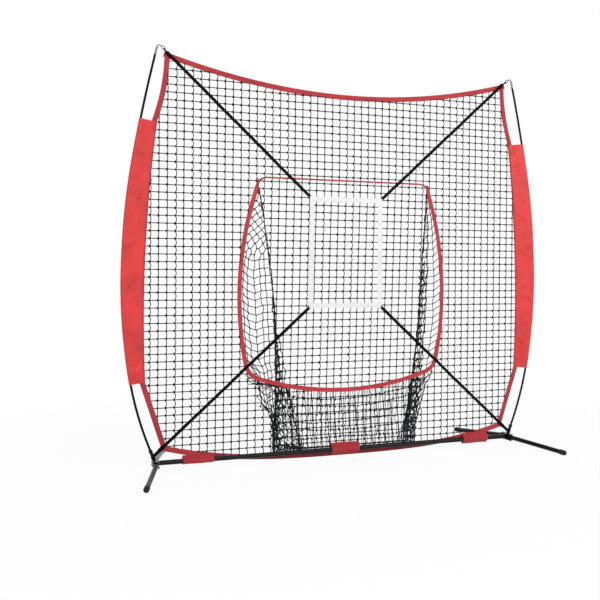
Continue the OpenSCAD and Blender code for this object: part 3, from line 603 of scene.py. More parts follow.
def knot_template():
    """Small tight knot: a closed three-lobed loop of twine."""
    a = np.linspace(0, math.tau, 13, endpoint=False)
    flat = coords(np.sin(a) + 2 * np.sin(2 * a), 0.9 * np.sin(3 * a), np.cos(a) - 2 * np.cos(2 * a))
    path = flat / 3 * KNOT_SIZE * [1, 0.45, 1]
    shape = Shape()
    tube(shape, path, TWINE_R * 0.95, 5, up=path + [0, 1e-5, 0], closed=True)
    return shape


KNOT = knot_template()


def knot_piece(name, places, seed, node, scale=1.0):
    """A knot at each place, each turned in its own way."""
    draw = np.random.default_rng(seed)
    n = len(places)
    a = draw.integers(0, 4, n) * math.pi / 2 + shake(draw, KNOT_TWIST, n)
    flip = draw.choice([-1.0, 1.0], n)
    size = draw.uniform(*KNOT_SPREAD, n) * scale
    c, s, none = np.cos(a), np.sin(a), np.zeros(n)
    turns = np.array([[flip * c, none, flip * -s], [none, flip, none], [s, none, c]]) * size
    shape = Shape()
    shape.copies(KNOT, turns.transpose(2, 0, 1), np.asarray(places))
    piece(shape, name, twine_look, "net_twine", node, crease=180)


def upright(shape, x, bow, y, z, radius):
    """Cord up the net, bowed a little between its knots."""
    tube(shape, coords(x + bow * np.sin(math.pi * ((z / MESH_Z) % 1)), y, z), radius)


def thin_ends(count):
    """Radii along a cord whose ends are pressed flat in the tape that holds them."""
    radii = np.full(count, TWINE_R)
    radii[[0, -1]] = TWINE_R / 2
    return radii


def main_net():
    """Square-hung net in the plane of its bindings."""
    columns, levels, knots = Shape(), Shape(), []
    draw = np.random.default_rng(7)
    reach = int(NET_REACH / MESH_X)
    marks = np.arange(-reach, reach + 1) * MESH_X
    fine = np.arange(0, NET_CEILING, MESH_Z / SPANS)
    for x in marks:
        bow = draw.uniform(*BOW) * LOOSE
        for ends in runs(fine, net_depth(x, fine)):
            z = samples(fine, *ends)
            upright(columns, x, bow, NET_Y, z, thin_ends(len(z)))
    fine = np.arange(-reach * 3, reach * 3 + 1) * MESH_X / 3
    for z in np.arange(1, int(NET_CEILING / MESH_Z)) * MESH_Z:
        for ends in runs(fine, net_depth(fine, z)):
            x = samples(fine, *ends)
            tube(levels, coords(x, NET_Y, z), thin_ends(len(x)))
        knots += list(coords(marks[net_depth(marks, z) > KNOT_INSIDE], NET_Y, z))
    piece(columns, "net_columns", twine_look, "net_twine", "main_net")
    piece(levels, "net_levels", twine_look, "net_twine", "main_net")
    knots = np.array(knots)
    knot_piece("net_knots_left", knots[knots[:, 0] < 0], 11, "main_net")
    knot_piece("net_knots_right", knots[knots[:, 0] >= 0], 11, "main_net")


# ---------------- pocket

CORD_SPANS = 3
TAUT_BOW = 0.001
EASY_BOW = 0.003
ROW_BOW = 0.0035
TIE_BOW = 0.004
SLACK_BOW = 0.005
HEX_Z = 0.0225
HEX_SWING = 0.42
HEX_EARLY = 0.1
HEX_BLEND = 0.16
GUSSET_TOP_Z = 1.52
GUSSET_BULGE = 0.006
GUSSET_SHAKE = 0.018
LEAST_SHARE = 0.03
TUBE_TOP_Z = BASE_Z + TUBE_R
FOOT_Z = 0.046
BAND_Z = 0.027
BAND_TOP_Z = 0.52
BAND_SHAKE = 0.12
BAND_SHAKE_Y = 0.003
BAND_SHAKE_Z = 0.006
BAND_PAST = 0.02
BAND_UNDER = 0.012
BAND_CORD_R = TWINE_R * 0.72
LAY_R = 0.0024
LAY_TURN = 0.09
LAY_STEP = 0.008
LAY_SHORT = 0.01
LAY_RIPPLE = ((0.11, 0.19), 0.0014)
SPARE_STEP = 0.009
SPARE_END = 0.05
SPARE_IN = 0.004
SPARE_RIPPLE = ((0.047, 0.083, 0.17), 0.0036)
SPARE_SWAY = ((0.07, 0.12), 0.003)
TIE_DROP = 0.02
TIE_REACH = 0.07
FRONT_LEFT = -0.300
FRONT_RIGHT = 0.405
FRONT_ROWS = 7
FRONT_LIFT = 0.006
FRONT_PAIR = (0.0090, 0.0175)
FRONT_SPREAD = (0.8, 1.25)
FRONT_DRIFT = 0.007
FRONT_BULGE = 0.010
FRONT_WAVE = 0.004
FRONT_JOLT = (0.0034, 0.0006, 0.0030)
FRONT_FOOT_SHAKE = 0.01
ROLL_CORDS = 21
HEAP_CORDS = 12
HEAP_LEFT = (-0.42, -0.30)
HEAP_LEN = (0.14, 0.34)
ROLL_LEFT = (-0.25, 0.2)
ROLL_RIGHT = 0.43
ROLL_TAPER = 0.03
ROLL_STEP = 0.006
ROLL_H = 0.003
ROLL_SINK = 0.001
ROLL_DEPTH = 0.010
ROLL_RIPPLE = ((0.023, 0.044, 0.09), 0.7)
ROLL_SWAY = ((0.027, 0.06), 0.002)
HEAP_H = 0.013
HEAP_END = -0.24
HEAP_FADE = 0.1

# Folds at the sides of the pocket's back panel: [z, x]
LEFT_FOLD = [
    (0.03, -0.414), (0.12, -0.411), (0.33, -0.388), (0.46, -0.389), (0.65, -0.396), (0.82, -0.406),
    (0.93, -0.419), (1.12, -0.446), (1.19, -0.459), (1.33, -0.480), (1.41, -0.496), (1.54, -0.524),
]
RIGHT_FOLD = [
    (0.03, 0.370), (0.15, 0.393), (0.26, 0.426), (0.40, 0.457), (0.57, 0.475), (0.72, 0.486),
    (1.01, 0.497), (1.16, 0.502), (1.31, 0.510), (1.45, 0.514), (1.54, 0.516),
]

# Where the netting below the lip is no longer gathered to the left fold: [z, x]
LEFT_INNER = [(0.03, -0.228), (0.12, -0.262), (0.33, -0.306), (0.40, -0.324)]

# Inner side of the slack netting left of the left fold, which spreads behind the fold at the foot: [z, x]
LEFT_EASED = [(0.03, -0.372), (0.24, -0.390), (0.33, -0.404), (0.40, -0.405)]

# Inner side of the slack netting left of the right fold, near the ground: [z, x]
RIGHT_INNER = [(0.03, 0.312), (0.10, 0.352), (0.20, 0.405), (0.30, 0.436), (0.40, 0.455)]

# Upright cords of a gusset low down, as shares of the way from its fold to the mouth's edge
LEFT_CORDS = (0.97, 0.89, 0.75, 0.54, 0.34, 0.20)
RIGHT_CORDS = (0.94, 0.65, 0.32)

# How far the gussets' level cords sag: [share, sag]
LEFT_SAG = [(0.0, 0.030), (0.34, 0.034), (0.54, 0.048), (0.75, 0.034), (0.89, 0.010), (1.0, 0.0)]
RIGHT_SAG = [(0.0, 0.040), (0.65, 0.036), (1.0, 0.0)]

# Thick cords of spare netting beside each fold, from the base tube up: [z, x]
LEFT_GATHER = [
    [(0.05, -0.388), (0.33, -0.386), (0.46, -0.378), (0.66, -0.400), (0.90, -0.425)],
    [(0.05, -0.262), (0.12, -0.272), (0.33, -0.312), (0.38, -0.326)],
    [(0.05, -0.340), (0.12, -0.334), (0.33, -0.342), (0.46, -0.341), (0.57, -0.356), (0.74, -0.405)],
    [(0.05, -0.352), (0.33, -0.366), (0.47, -0.364), (0.66, -0.404)],
    [(0.05, -0.300), (0.12, -0.308), (0.33, -0.326), (0.40, -0.338)],
    [(0.05, -0.372), (0.33, -0.377), (0.50, -0.372), (0.62, -0.390), (0.80, -0.415)],
    [(0.05, -0.396), (0.33, -0.394), (0.50, -0.392), (0.74, -0.410)],
]
RIGHT_GATHER = [
    [(0.05, 0.424), (0.15, 0.437), (0.25, 0.456), (0.39, 0.485), (0.60, 0.493), (0.90, 0.503), (1.10, 0.511)],
    [(0.05, 0.402), (0.15, 0.414), (0.25, 0.436), (0.39, 0.460), (0.60, 0.470)],
    [(0.05, 0.441), (0.25, 0.474), (0.39, 0.496), (0.70, 0.512), (1.00, 0.524), (1.36, 0.524)],
    [(0.05, 0.392), (0.15, 0.404), (0.25, 0.424), (0.39, 0.447), (0.60, 0.472), (0.87, 0.495), (1.05, 0.507)],
    [(0.05, 0.430), (0.25, 0.464), (0.39, 0.478), (0.60, 0.484), (0.80, 0.494)],
]


def back_y(z):
    above = lerp(POCKET_Y + POCKET_DEPTH, POCKET_Y, (z - BELLY_Z) / (MOUTH_TOP_Z - BELLY_Z))
    below = lerp(POCKET_Y, POCKET_Y + POCKET_DEPTH, (z - POCKET_BASE_Z) / (BELLY_Z - POCKET_BASE_Z))
    return np.where(z > BELLY_Z, above, below)


def lip_z(x):
    return MOUTH_LIP_Z + MOUTH_LIP_R - np.sqrt(MOUTH_LIP_R ** 2 - x * x)


def pocket_edge(sides, z):
    """Where the pocket's side is tied: the mouth's trim, and below it the edge of the slack netting."""
    top_z, top_x = sides[-1]
    rise = np.maximum(z, top_z) - MOUTH_MID_Z
    seam = MOUTH_HALF - MOUTH_SIDE_R + np.sqrt(MOUTH_SIDE_R ** 2 - rise ** 2) - TRIM_W / 2
    return np.where(z > top_z, np.sign(top_x) * seam, lookup(sides, z))


def tied(places, bow, draw):
    """Path of a cord tied at each of the places, bowed a little to one side between them."""
    places = np.asarray(places, float)
    t = np.linspace(0, 1, CORD_SPANS + 1)[1:, None]
    a, b = places[:-1, None], places[1:, None]
    off = shake(draw, bow, (len(places) - 1, 1, 3)) * [1, 0.5, 0.3]
    between = a + (b - a) * t + off * 4 * t * (1 - t)
    return np.vstack([places[:1], between.reshape(-1, 3)])


def knotted(name, shape, knots, seed, scale=1.0):
    """Two pieces of netting: its cords, and the knots where they cross."""
    piece(shape, name, twine_look, "net_twine", "pocket_net")
    knot_piece(name + "_knots", knots, seed, "pocket_net", scale)


def back_panel():
    """Even netting between the two folds, from the mouth's top down to the ground."""
    shape, knots = Shape(), []
    draw = np.random.default_rng(71)
    reach = int(PANEL_REACH / MESH_X)
    fine = np.arange(POCKET_BASE_Z + BINDING_W / 2, MOUTH_TOP_Z - TRIM_TOP_W / 2, MESH_Z / SPANS)
    for x in np.arange(-reach, reach + 1) * MESH_X:
        inside = np.minimum(x - lookup(LEFT_FOLD, fine), lookup(RIGHT_FOLD, fine) - x)
        bow = draw.uniform(*BOW) * LOOSE
        for low, high in runs(fine, inside):
            z = fine[(fine >= low) & (fine <= high)]
            upright(shape, x, bow, back_y(z), z, TWINE_R)
    levels = np.arange(1, int(MOUTH_TOP_Z / MESH_Z) + 1) * MESH_Z
    for z in levels[(levels > fine[0]) & (levels < fine[-1])]:
        left, right = lookup(LEFT_FOLD, z), lookup(RIGHT_FOLD, z)
        marks = np.arange(math.ceil(left / MESH_X), math.floor(right / MESH_X) + 1) * MESH_X
        places = coords(np.concatenate([[left], marks, [right]]), back_y(z), z)
        tube(shape, tied(places, TAUT_BOW, draw), TWINE_R)
        knots += list(places[1:-1])
    knotted("pocket_back", shape, knots, 72)


def gusset(hand, fold, sides, low_shares, step, hex_z, sag, seed):
    """Netting from a fold out to the mouth's edge: four-sided cells, and six-sided ones above hex_z."""
    shape, knots = Shape(), []
    draw = np.random.default_rng(seed)
    heights = [j * MESH_Z for j in range(2, int(min(hex_z, GUSSET_TOP_Z) / MESH_Z) + 1)]
    first_hex = len(heights)
    while heights[-1] + HEX_Z < GUSSET_TOP_Z:
        heights.append(heights[-1] + HEX_Z)

    def risen(z):
        t = min(max((z - hex_z + HEX_EARLY) / HEX_BLEND, 0.0), 1.0)
        return t * t * (3 - 2 * t)

    def place(share, z):
        low = z - (1 - risen(z)) * lookup(sag, share)
        bulge = GUSSET_BULGE * math.sin(math.pi * min(max(share, 0), 1))
        x = lerp(lookup(fold, low), pocket_edge(sides, low), share)
        return np.array([x, lerp(back_y(low), POCKET_Y, share) + bulge, low])

    # Shares of the upright cords that reach each height, from the mouth's edge inwards
    shares = []
    for j, z in enumerate(heights):
        width = abs(pocket_edge(sides, z) - lookup(fold, z))
        here = []
        for k, low in enumerate(low_shares):
            high = 1 - (k + 0.5 - HEX_SWING * (-1) ** (k + j)) * step / width
            here.append(lerp(low, high, risen(z)) + shake(draw, GUSSET_SHAKE))
        shares.append([s for s in here if s > LEAST_SHARE or risen(z) == 0])

    for k in range(len(low_shares)):
        rows = [j for j in range(len(heights)) if len(shares[j]) > k]
        places = [place(shares[j][k], heights[j]) for j in rows]
        knots += places
        if rows[-1] + 1 < len(heights):
            places.append(place(0.0, heights[rows[-1] + 1]))
        foot = places[0] * [1, 1, 0] + [0, 0, FOOT_Z]
        tube(shape, tied([foot] + places, SLACK_BOW, draw), GUSSET_CORD_R)
    for j, z in enumerate(heights):
        places = [place(s, z) for s in [1.0] + shares[j] + [0.0]]
        if j < first_hex:
            tube(shape, tied(places, EASY_BOW, draw), GUSSET_CORD_R)
            continue
        for n in range(j % 2, len(places) - 1, 2):
            tube(shape, tied(places[n:n + 2], TAUT_BOW, draw), GUSSET_CORD_R)
    knotted(f"pocket_{hand}_gusset", shape, knots, seed + 1, 0.7)


def gather(hand, fold, cords, bold, seed):
    """Two laid cords down the fold, bold times the twine high up, and wavy cords of spare netting."""
    shape, knots = Shape(), []
    draw = np.random.default_rng(seed)
    z = np.arange(FOOT_Z, MOUTH_TOP_Z - LAY_SHORT, LAY_STEP)
    for k in range(2):
        turn = math.tau * z / LAY_TURN + k * math.pi
        x = lookup(fold, z) + LAY_R * np.cos(turn) + ripple(z, seed + k, *LAY_RIPPLE)
        y = np.maximum(back_y(z) + LAY_R * np.sin(turn), POCKET_Y)
        tube(shape, coords(x, y, z), TWINE_R * np.interp(z, [0.7, 1.3], [1.4, bold]))
    for k, line in enumerate(cords):
        z = np.arange(FOOT_Z, line[-1][0], SPARE_STEP)
        end = np.clip((z[-1] - z) / SPARE_END, 0, 1)
        x = lookup(line, z) + end * ripple(z, seed + 10 + k, *SPARE_RIPPLE)
        y = lerp(back_y(z), POCKET_Y + SPARE_IN, 0.2 + 0.5 * draw.random())
        y = np.maximum(y + end * ripple(z, seed + 30 + k, *SPARE_SWAY), POCKET_Y)
        weight = np.interp(z, [0.5, 1.0], [1.5, 1.2] if k < 2 else [1.05, 1.0])
        tube(shape, coords(x, y, z), TWINE_R * weight)
        marks = np.arange(2, z[-1] / MESH_Z) * MESH_Z
        places = coords(np.interp(marks, z, x), np.interp(marks, z, y), marks)
        knots += list(places)
        for a in places:
            low = a[2] - draw.uniform(0.0, TIE_DROP)
            b = np.array([lookup(fold, low), back_y(low), low])
            if np.linalg.norm(a - b) < TIE_REACH:
                tube(shape, tied([a, b], TIE_BOW, draw), GUSSET_CORD_R)
    knotted(f"pocket_{hand}_gather", shape, knots, seed + 2)


def slack_band(name, inner, outer, count, layers, seed):
    """Slack netting below the mouth between two lines: layers of narrow collapsed diamonds."""
    shape, knots = Shape(), []
    draw = np.random.default_rng(seed)
    heights = np.arange(FOOT_Z, BAND_TOP_Z, BAND_Z)
    n = len(heights)
    for layer in range(layers):
        for k in range(count + 1):
            swing = np.where((np.arange(n) + k + layer) % 2, HEX_SWING, -HEX_SWING)
            share = np.clip((k + swing + shake(draw, BAND_SHAKE, n)) / count, -BAND_PAST, 1 + BAND_PAST)
            z = heights + shake(draw, BAND_SHAKE_Z, n) * (heights > FOOT_Z)
            x = lerp(lookup(inner, z), pocket_edge(outer, z), share)
            y = lerp(back_y(z), POCKET_Y, 0.3 + 0.5 * layer) + shake(draw, BAND_SHAKE_Y, n)
            below = mouth_distance(x, z) > -BAND_UNDER
            last = n if below.all() else int(np.argmin(below))
            if last > 2:
                places = coords(x, np.maximum(y, POCKET_Y), z)[:last]
                tube(shape, tied(places, EASY_BOW, draw), BAND_CORD_R)
                knots += list(places[1::2])
    knotted("pocket_" + name, shape, knots, seed + 1, 0.8)


def slack_front():
    """Slack netting that hangs from the lip to the bottom edge, its uprights in uneven pairs."""
    shape, knots = Shape(), []
    draw = np.random.default_rng(91)
    uprights = [FRONT_LEFT]
    while uprights[-1] < FRONT_RIGHT:
        uprights.append(uprights[-1] + FRONT_PAIR[len(uprights) % 2] * draw.uniform(*FRONT_SPREAD))
    drift = shake(draw, FRONT_DRIFT, len(uprights))

    def place(k, row):
        share = row / FRONT_ROWS
        slack = math.sin(math.pi * share)
        x = uprights[k] + drift[k] * slack
        z = lerp(TUBE_TOP_Z + FRONT_LIFT, float(lip_z(x)) + FRONT_LIFT, share)
        z += FRONT_WAVE * math.sin(9 * x + 2 * row)
        jolt = shake(draw, 1, 3) * FRONT_JOLT
        return np.array([x, POCKET_Y + FRONT_BULGE * slack, z]) + jolt

    lattice = [[place(k, row) for row in range(FRONT_ROWS + 1)] for k in range(len(uprights))]
    for x, places in zip(uprights, lattice):
        foot = np.array([x + shake(draw, FRONT_FOOT_SHAKE), POCKET_Y, FOOT_Z])
        tube(shape, tied([foot] + places, SLACK_BOW, draw), FRONT_CORD_R)
        knots += places[1:-1]
    for row in range(1, FRONT_ROWS):
        tube(shape, tied([places[row] for places in lattice], ROW_BOW, draw), FRONT_CORD_R * 1.25)
    knotted("pocket_front", shape, knots, 92, 0.85)


def crumpled_foot():
    """Spare netting that lies bunched in a thin roll along the top of the base tube."""
    shape = Shape()
    draw = np.random.default_rng(95)
    for k in range(ROLL_CORDS):
        start = draw.uniform(*(HEAP_LEFT if k < HEAP_CORDS else ROLL_LEFT))
        end = start + draw.uniform(*HEAP_LEN) if k < HEAP_CORDS else ROLL_RIGHT
        x = np.arange(start, end, ROLL_STEP)
        thin = np.clip((x - start) / ROLL_TAPER, 0, 1) * np.clip((end - x) / ROLL_TAPER, 0, 1)
        heap = ROLL_H + HEAP_H * np.clip((HEAP_END - x) / HEAP_FADE, 0, 1)
        z = TUBE_TOP_Z - ROLL_SINK + thin * heap * (1 + ripple(x, 300 + k, *ROLL_RIPPLE))
        y = POCKET_Y + draw.uniform(0, ROLL_DEPTH) + ripple(x, 340 + k, *ROLL_SWAY) * thin
        tube(shape, coords(x, np.maximum(y, POCKET_Y), z), TWINE_R * 0.75, up=(0, 0, 1))
    piece(shape, "pocket_foot", twine_look, "net_twine", "pocket_net")


# ---------------- stitches

THREAD_R = 0.0003
STITCH_LEN = 0.0036
STITCH_PITCH = 0.005


def stitch_template():
    """One stitch along +X, standing a little proud towards +Z and dipping in at both ends."""
    shape = Shape()
    t = np.linspace(-1, 1, 5)
    path = coords(t * STITCH_LEN / 2, 0, THREAD_R * (0.6 - 1.4 * t ** 4))
    tube(shape, path, THREAD_R * (1 - 0.5 * t ** 4), 4)
    return shape


STITCH = stitch_template()


def stitch_row(shape, path, face):
    """Stitches at an even pitch along a path; face is -1 on the cloth's front and 1 on its back."""
    path = np.asarray(path, float)
    s = lengths(path)
    at = np.arange(STITCH_PITCH / 2, s[-1], STITCH_PITCH)
    forward = unit(walk(path, s, at + STITCH_LEN / 2) - walk(path, s, at - STITCH_LEN / 2))
    side = unit(np.cross((0, face, 0), forward))
    shape.copies(STITCH, np.stack([forward, side, np.cross(forward, side)], 2), walk(path, s, at))


# ---------------- bindings

TAPE_CLOTH = 0.0009
OPEN_EDGE_T = 0.0028
TAPE_STEP = 0.007
SEAM_SHARE = 0.8
PUCKER = ((0.031, 0.047, 0.113), 0.0004)
EDGE_WAVE = ((0.038, 0.071), 0.0004)
TUCKED_LEN = 0.008
LOW_LAP = 0.006
HIGH_LAP = 0.008


def tape_section(width):
    """Folded tape as [inward from the fold, through]: two leaves that close on the net."""
    t, e, c = BINDING_T / 2, OPEN_EDGE_T / 2, TAPE_CLOTH
    a = np.radians([-60, -25, 0, 25, 60])
    outer_fold = coords(t - t * np.cos(a), t * np.sin(a))
    inner_fold = coords(t - (t - c) * np.cos(a), (t - c) * np.sin(a))[::-1]
    reach = np.array([width, width * 0.8, width * 0.45, t * 1.4])
    rise = np.array([e, lerp(e, t, 0.6), t, t])
    front, back = coords(reach, -rise), coords(reach, rise)[::-1]
    inner_back, inner_front = coords(reach, rise - c), coords(reach, c - rise)[::-1]
    return np.vstack([front, outer_fold, back, inner_back, inner_fold, inner_front])


def even_steps(line):
    """Points at even steps along a polyline, and how far along each one is."""
    s = lengths(line)
    at = np.linspace(0, s[-1], max(2, round(s[-1] / TAPE_STEP) + 1))
    return walk(line, s, at), at


def tape(name, edge, inward, width, seed, closed=False, tucked=False):
    """Folded tape whose fold runs along edge, a line in the XZ plane, its leaves inward."""
    points, s = edge
    shape, seam = Shape(), Shape()
    widths = np.broadcast_to(width, len(points))
    pucker = ripple(s, seed, *PUCKER)
    wave = ripple(s, seed + 1, *EDGE_WAVE)
    thin = np.clip(np.minimum(s, s[-1] - s) / TUCKED_LEN, 0.25, 1) if tucked else np.ones(len(s))
    rings = []
    for p, n, w, a, b, t in zip(points, inward, widths, pucker, wave, thin):
        reach, through = tape_section(w).T
        depth = reach + b * (reach / w)
        y = NET_Y + through * t + a * (reach / w)
        rings.append(coords(p[0] + n[0] * depth, y, p[1] + n[1] * depth))
    loft(shape, rings[:-1] if closed else rings, closed)
    made = piece(shape, name, trim_look, "red_webbing", name)
    line = points + inward * ((widths + wave) * SEAM_SHARE)[:, None]
    rise = lerp(OPEN_EDGE_T, BINDING_T, 0.6) / 2
    for face in (-1, 1):
        y = NET_Y + face * rise * thin + pucker * SEAM_SHARE
        stitch_row(seam, coords(line[:, 0], y, line[:, 1]), face)
    piece(seam, name + "_stitches", thread_look, "red_webbing", name)


def normals(points, closed=False):
    """Directions square to a line, to its left, in the XZ plane."""
    d = direction(points, closed)
    return unit(coords(-d[:, 1], d[:, 0]))


def bindings():
    x = np.linspace(TOP_CORNER[0], -TOP_CORNER[0], 60)
    top = even_steps(coords(x, top_edge(x)))
    tape("top_binding", top, normals(top[0]), BINDING_W, 21)
    x = np.linspace(-BOTTOM_CORNER[0], BOTTOM_CORNER[0], 60)
    bottom = even_steps(coords(x, bottom_edge(x)))
    tape("bottom_binding", bottom, normals(bottom[0]), BINDING_W, 23)
    z = np.linspace(BOTTOM_CORNER[1] + BINDING_W - LOW_LAP, TOP_CORNER[1] - BINDING_W + HIGH_LAP, 120)
    right = even_steps(coords(side_edge(z), z))
    tape("right_binding", right, normals(right[0]), BINDING_W, 25, tucked=True)
    left = (right[0][::-1] * [-1, 1], right[1])
    tape("left_binding", left, normals(left[0]), BINDING_W, 27, tucked=True)


def mouth_trim():
    points, s = even_steps(np.vstack([MOUTH, MOUTH[:1]]))
    inward = normals(points[:-1], closed=True)
    inward = np.vstack([inward, inward[:1]])
    share = np.clip((points[:, 1] - MOUTH_TOP_Z + MOUTH_UPPER_R) / MOUTH_UPPER_R, 0, 1)
    tape("mouth_trim", (points, s), inward, lerp(TRIM_W, TRIM_TOP_W, share), 29, closed=True)


# ---------------- poles

ROD_R = 0.00475
ROD_END_R = 0.0046
SHOWN_ROD_R = 0.0061
ROD_IN_SOCKET = 0.030
CUP_LAP = 0.019
HEM_LAP = 0.060
STEP = 0.0005


def pole_piece(side, hand, section, stations, bare, ends):
    """One rod of a pole from its stations, thicker where bare says that it shows."""
    x, z = np.array([s[:2] for s in stations]).T
    radius = np.where(bare(z), SHOWN_ROD_R, ROD_R)
    radius[ends] = ROD_END_R
    shape = Shape()
    tube(shape, coords(hand * x, 0, z), radius, 16)
    node = f"{side}_pole_section_{section}"
    piece(shape, node + "_rod", cad_looks["black_fibreglass"], "black_fibreglass", node)


def pole_ends(side, hand):
    """The lowest and the highest rod, as thick as in the photograph outside socket, sleeve and cup."""
    turned = POLE_LEAN - np.cumsum(TURNS)
    foot, joint = (HUB_X, BASE_Z, POLE_LEAN), (*POLE[8], turned[0])
    low = [ahead(foot, SOCKET_END + d) for d in (-ROD_IN_SOCKET, 0.0, STEP)]
    low += list(POLE[:9]) + [ahead(joint, d) for d in (STEP, FERRULE_LEN / 2)]
    pole_piece(side, hand, 1, low, lambda z: (z > low[1][1]) & (z < SLEEVE_BOTTOM_Z + HEM_LAP), [-2, -1])

    joint, top = (*POLE[27], turned[2]), (*POLE[35], turned[3])
    high = [ahead(joint, d) for d in (-FERRULE_LEN / 2, -STEP)] + list(POLE[27:])
    high += [ahead(top, POLE_END - CUP_LAP + d) for d in (-STEP, 0.0, CUP_LAP)]
    pole_piece(side, hand, 4, high, lambda z: (z > SLEEVE_TOP_Z - HEM_LAP) & (z < high[-2][1]), [0, 1])


# ---------------- sleeves and wraps

SLEEVE_STEP = 0.008
SLEEVE_WALL_POINTS = (12, 3, 16)
SLEEVE_LAP = BINDING_W - 0.008
SLEEVE_EASE = 0.0008
WRINKLE_IN = (0.01, 0.07)
WRINKLE_W = (0.006, 0.013)
WRINKLE_LEN = (0.02, 0.055)
WRINKLE_DEPTH = (0.0034, 0.0078)
EDGE_SEAM_IN = 0.003
HEM_SEAM_IN = 0.005
HEM_TILT = 0.5
WRINKLES = 34


def peg_band(pegs, arc_points, wall_points):
    """Outline of a band round circles [a, b, r], counter-clockwise, with points along its walls too."""
    n = len(pegs)

    def heading(p, q):
        gap = math.hypot(q[0] - p[0], q[1] - p[1])
        return math.atan2(q[1] - p[1], q[0] - p[0]) - math.acos((p[2] - q[2]) / gap)

    ends = []
    for k, (x, y, r) in enumerate(pegs):
        a0 = heading(pegs[k - 1], pegs[k])
        a = a0 + np.linspace(0, (heading(pegs[k], pegs[k + 1 - n]) - a0) % math.tau, arc_points)
        ends.append(coords(x + r * np.cos(a), y + r * np.sin(a)))
    outline = []
    for k, spans in enumerate(wall_points):
        wall = lerp(ends[k][-1], ends[k + 1 - n][0], np.linspace(0, 1, spans + 2)[1:-1, None])
        outline += [ends[k], wall]
    return np.vstack(outline)


def wrinkles(seed):
    """Soft diagonal folds: [height, way in from the pole, lean, half width, half length, depth]."""
    draw = np.random.default_rng(seed)
    for _ in range(WRINKLES):
        z, inward = draw.uniform(SLEEVE_BOTTOM_Z, SLEEVE_TOP_Z), draw.uniform(*WRINKLE_IN)
        lean = math.radians(draw.uniform(20, 65)) * draw.choice([-1, 1])
        width, length = draw.uniform(*WRINKLE_W), draw.uniform(*WRINKLE_LEN)
        yield z, inward, lean, width, length, draw.uniform(*WRINKLE_DEPTH) * draw.choice([-1, 1])


def sleeve(side, hand, seed):
    """Flat tube of cloth round the pole that also wraps the net's side binding."""
    name = side + "_sleeve"
    height = SLEEVE_TOP_Z - SLEEVE_BOTTOM_Z
    hem_r = BINDING_T / 2 + SLEEVE_EASE
    folds = list(wrinkles(seed))
    rings = {0.0: [], SLEEVE_CLOTH: []}
    seams = {(face, row): [] for face in (-1, 1) for row in range(2)}
    for z in np.linspace(SLEEVE_BOTTOM_Z, SLEEVE_TOP_Z, round(height / SLEEVE_STEP)):
        x0, slope = float(pole_x(z)), float(pole_slope(z))
        edge = float(side_edge(z))
        end = edge - SLEEVE_LAP
        for grow, kept in rings.items():
            pegs = [
                (x0, 0.0, SLEEVE_BORE_R + grow),
                (edge, NET_Y, hem_r + grow),
                (end + hem_r, NET_Y, hem_r + grow - SLEEVE_CLOTH),
            ]
            x, y = peg_band(pegs, 9, SLEEVE_WALL_POINTS).T
            inward = x0 - x
            share = np.clip(inward / (x0 - end), 0, 1)
            front = y - lerp(0, NET_Y, share) < 0
            reach = np.where(front, share, np.clip(inward / (x0 - edge), 0, 1))
            crease = np.zeros(len(x))
            for fold_z, fold_in, lean, width, length, depth in folds:
                dz, din = z - fold_z, inward - fold_in
                over = dz * math.cos(lean) - din * math.sin(lean)
                past = dz * math.sin(lean) + din * math.cos(lean)
                crease += depth * np.exp(-((over / width) ** 2) - (past / length) ** 2)
            ease = np.where(front, -SLEEVE_EASE, SLEEVE_EASE)
            y = y + np.sin(math.pi * reach) ** 0.7 * (crease + ease)
            kept.append(coords(hand * x, y, z + inward * slope * HEM_TILT))
        outer = rings[SLEEVE_CLOTH][-1]
        half = len(outer) // 2
        for face, wall in ((1, outer[:half]), (-1, outer[half:])):
            wall = wall[np.argsort(hand * wall[:, 0])]
            for row, x in enumerate((edge + EDGE_SEAM_IN, end + HEM_SEAM_IN)):
                seams[face, row].append(walk(wall, hand * wall[:, 0], x))
    shape, seam = Shape(), Shape()
    loft(shape, rings[SLEEVE_CLOTH] + rings[0.0][::-1], closed=True)
    made = piece(shape, name, sleeve_look, "red_fabric", name, crease=60)
    for (face, _), line in seams.items():
        stitch_row(seam, line, face)
    piece(seam, name + "_stitches", thread_look, "red_fabric", name)


WRAP_LEN = 0.166
WRAP_CLOTH = 0.0014
WRAP_ABOVE = 0.037
WRAP_TIP_R = 0.0016
WRAP_EASE = 0.0002
WRAP_RINGS = 45
WRAP_SEAM_IN = 0.006
WRAP_SEAM_GAP = 0.004
WRAP_FLARE = 0.02
WRAP_RIPPLE_Y = 0.0006
WRAP_RIPPLE_Z = 0.0007
OUTER_WRAP_X = HUB_X - 0.226


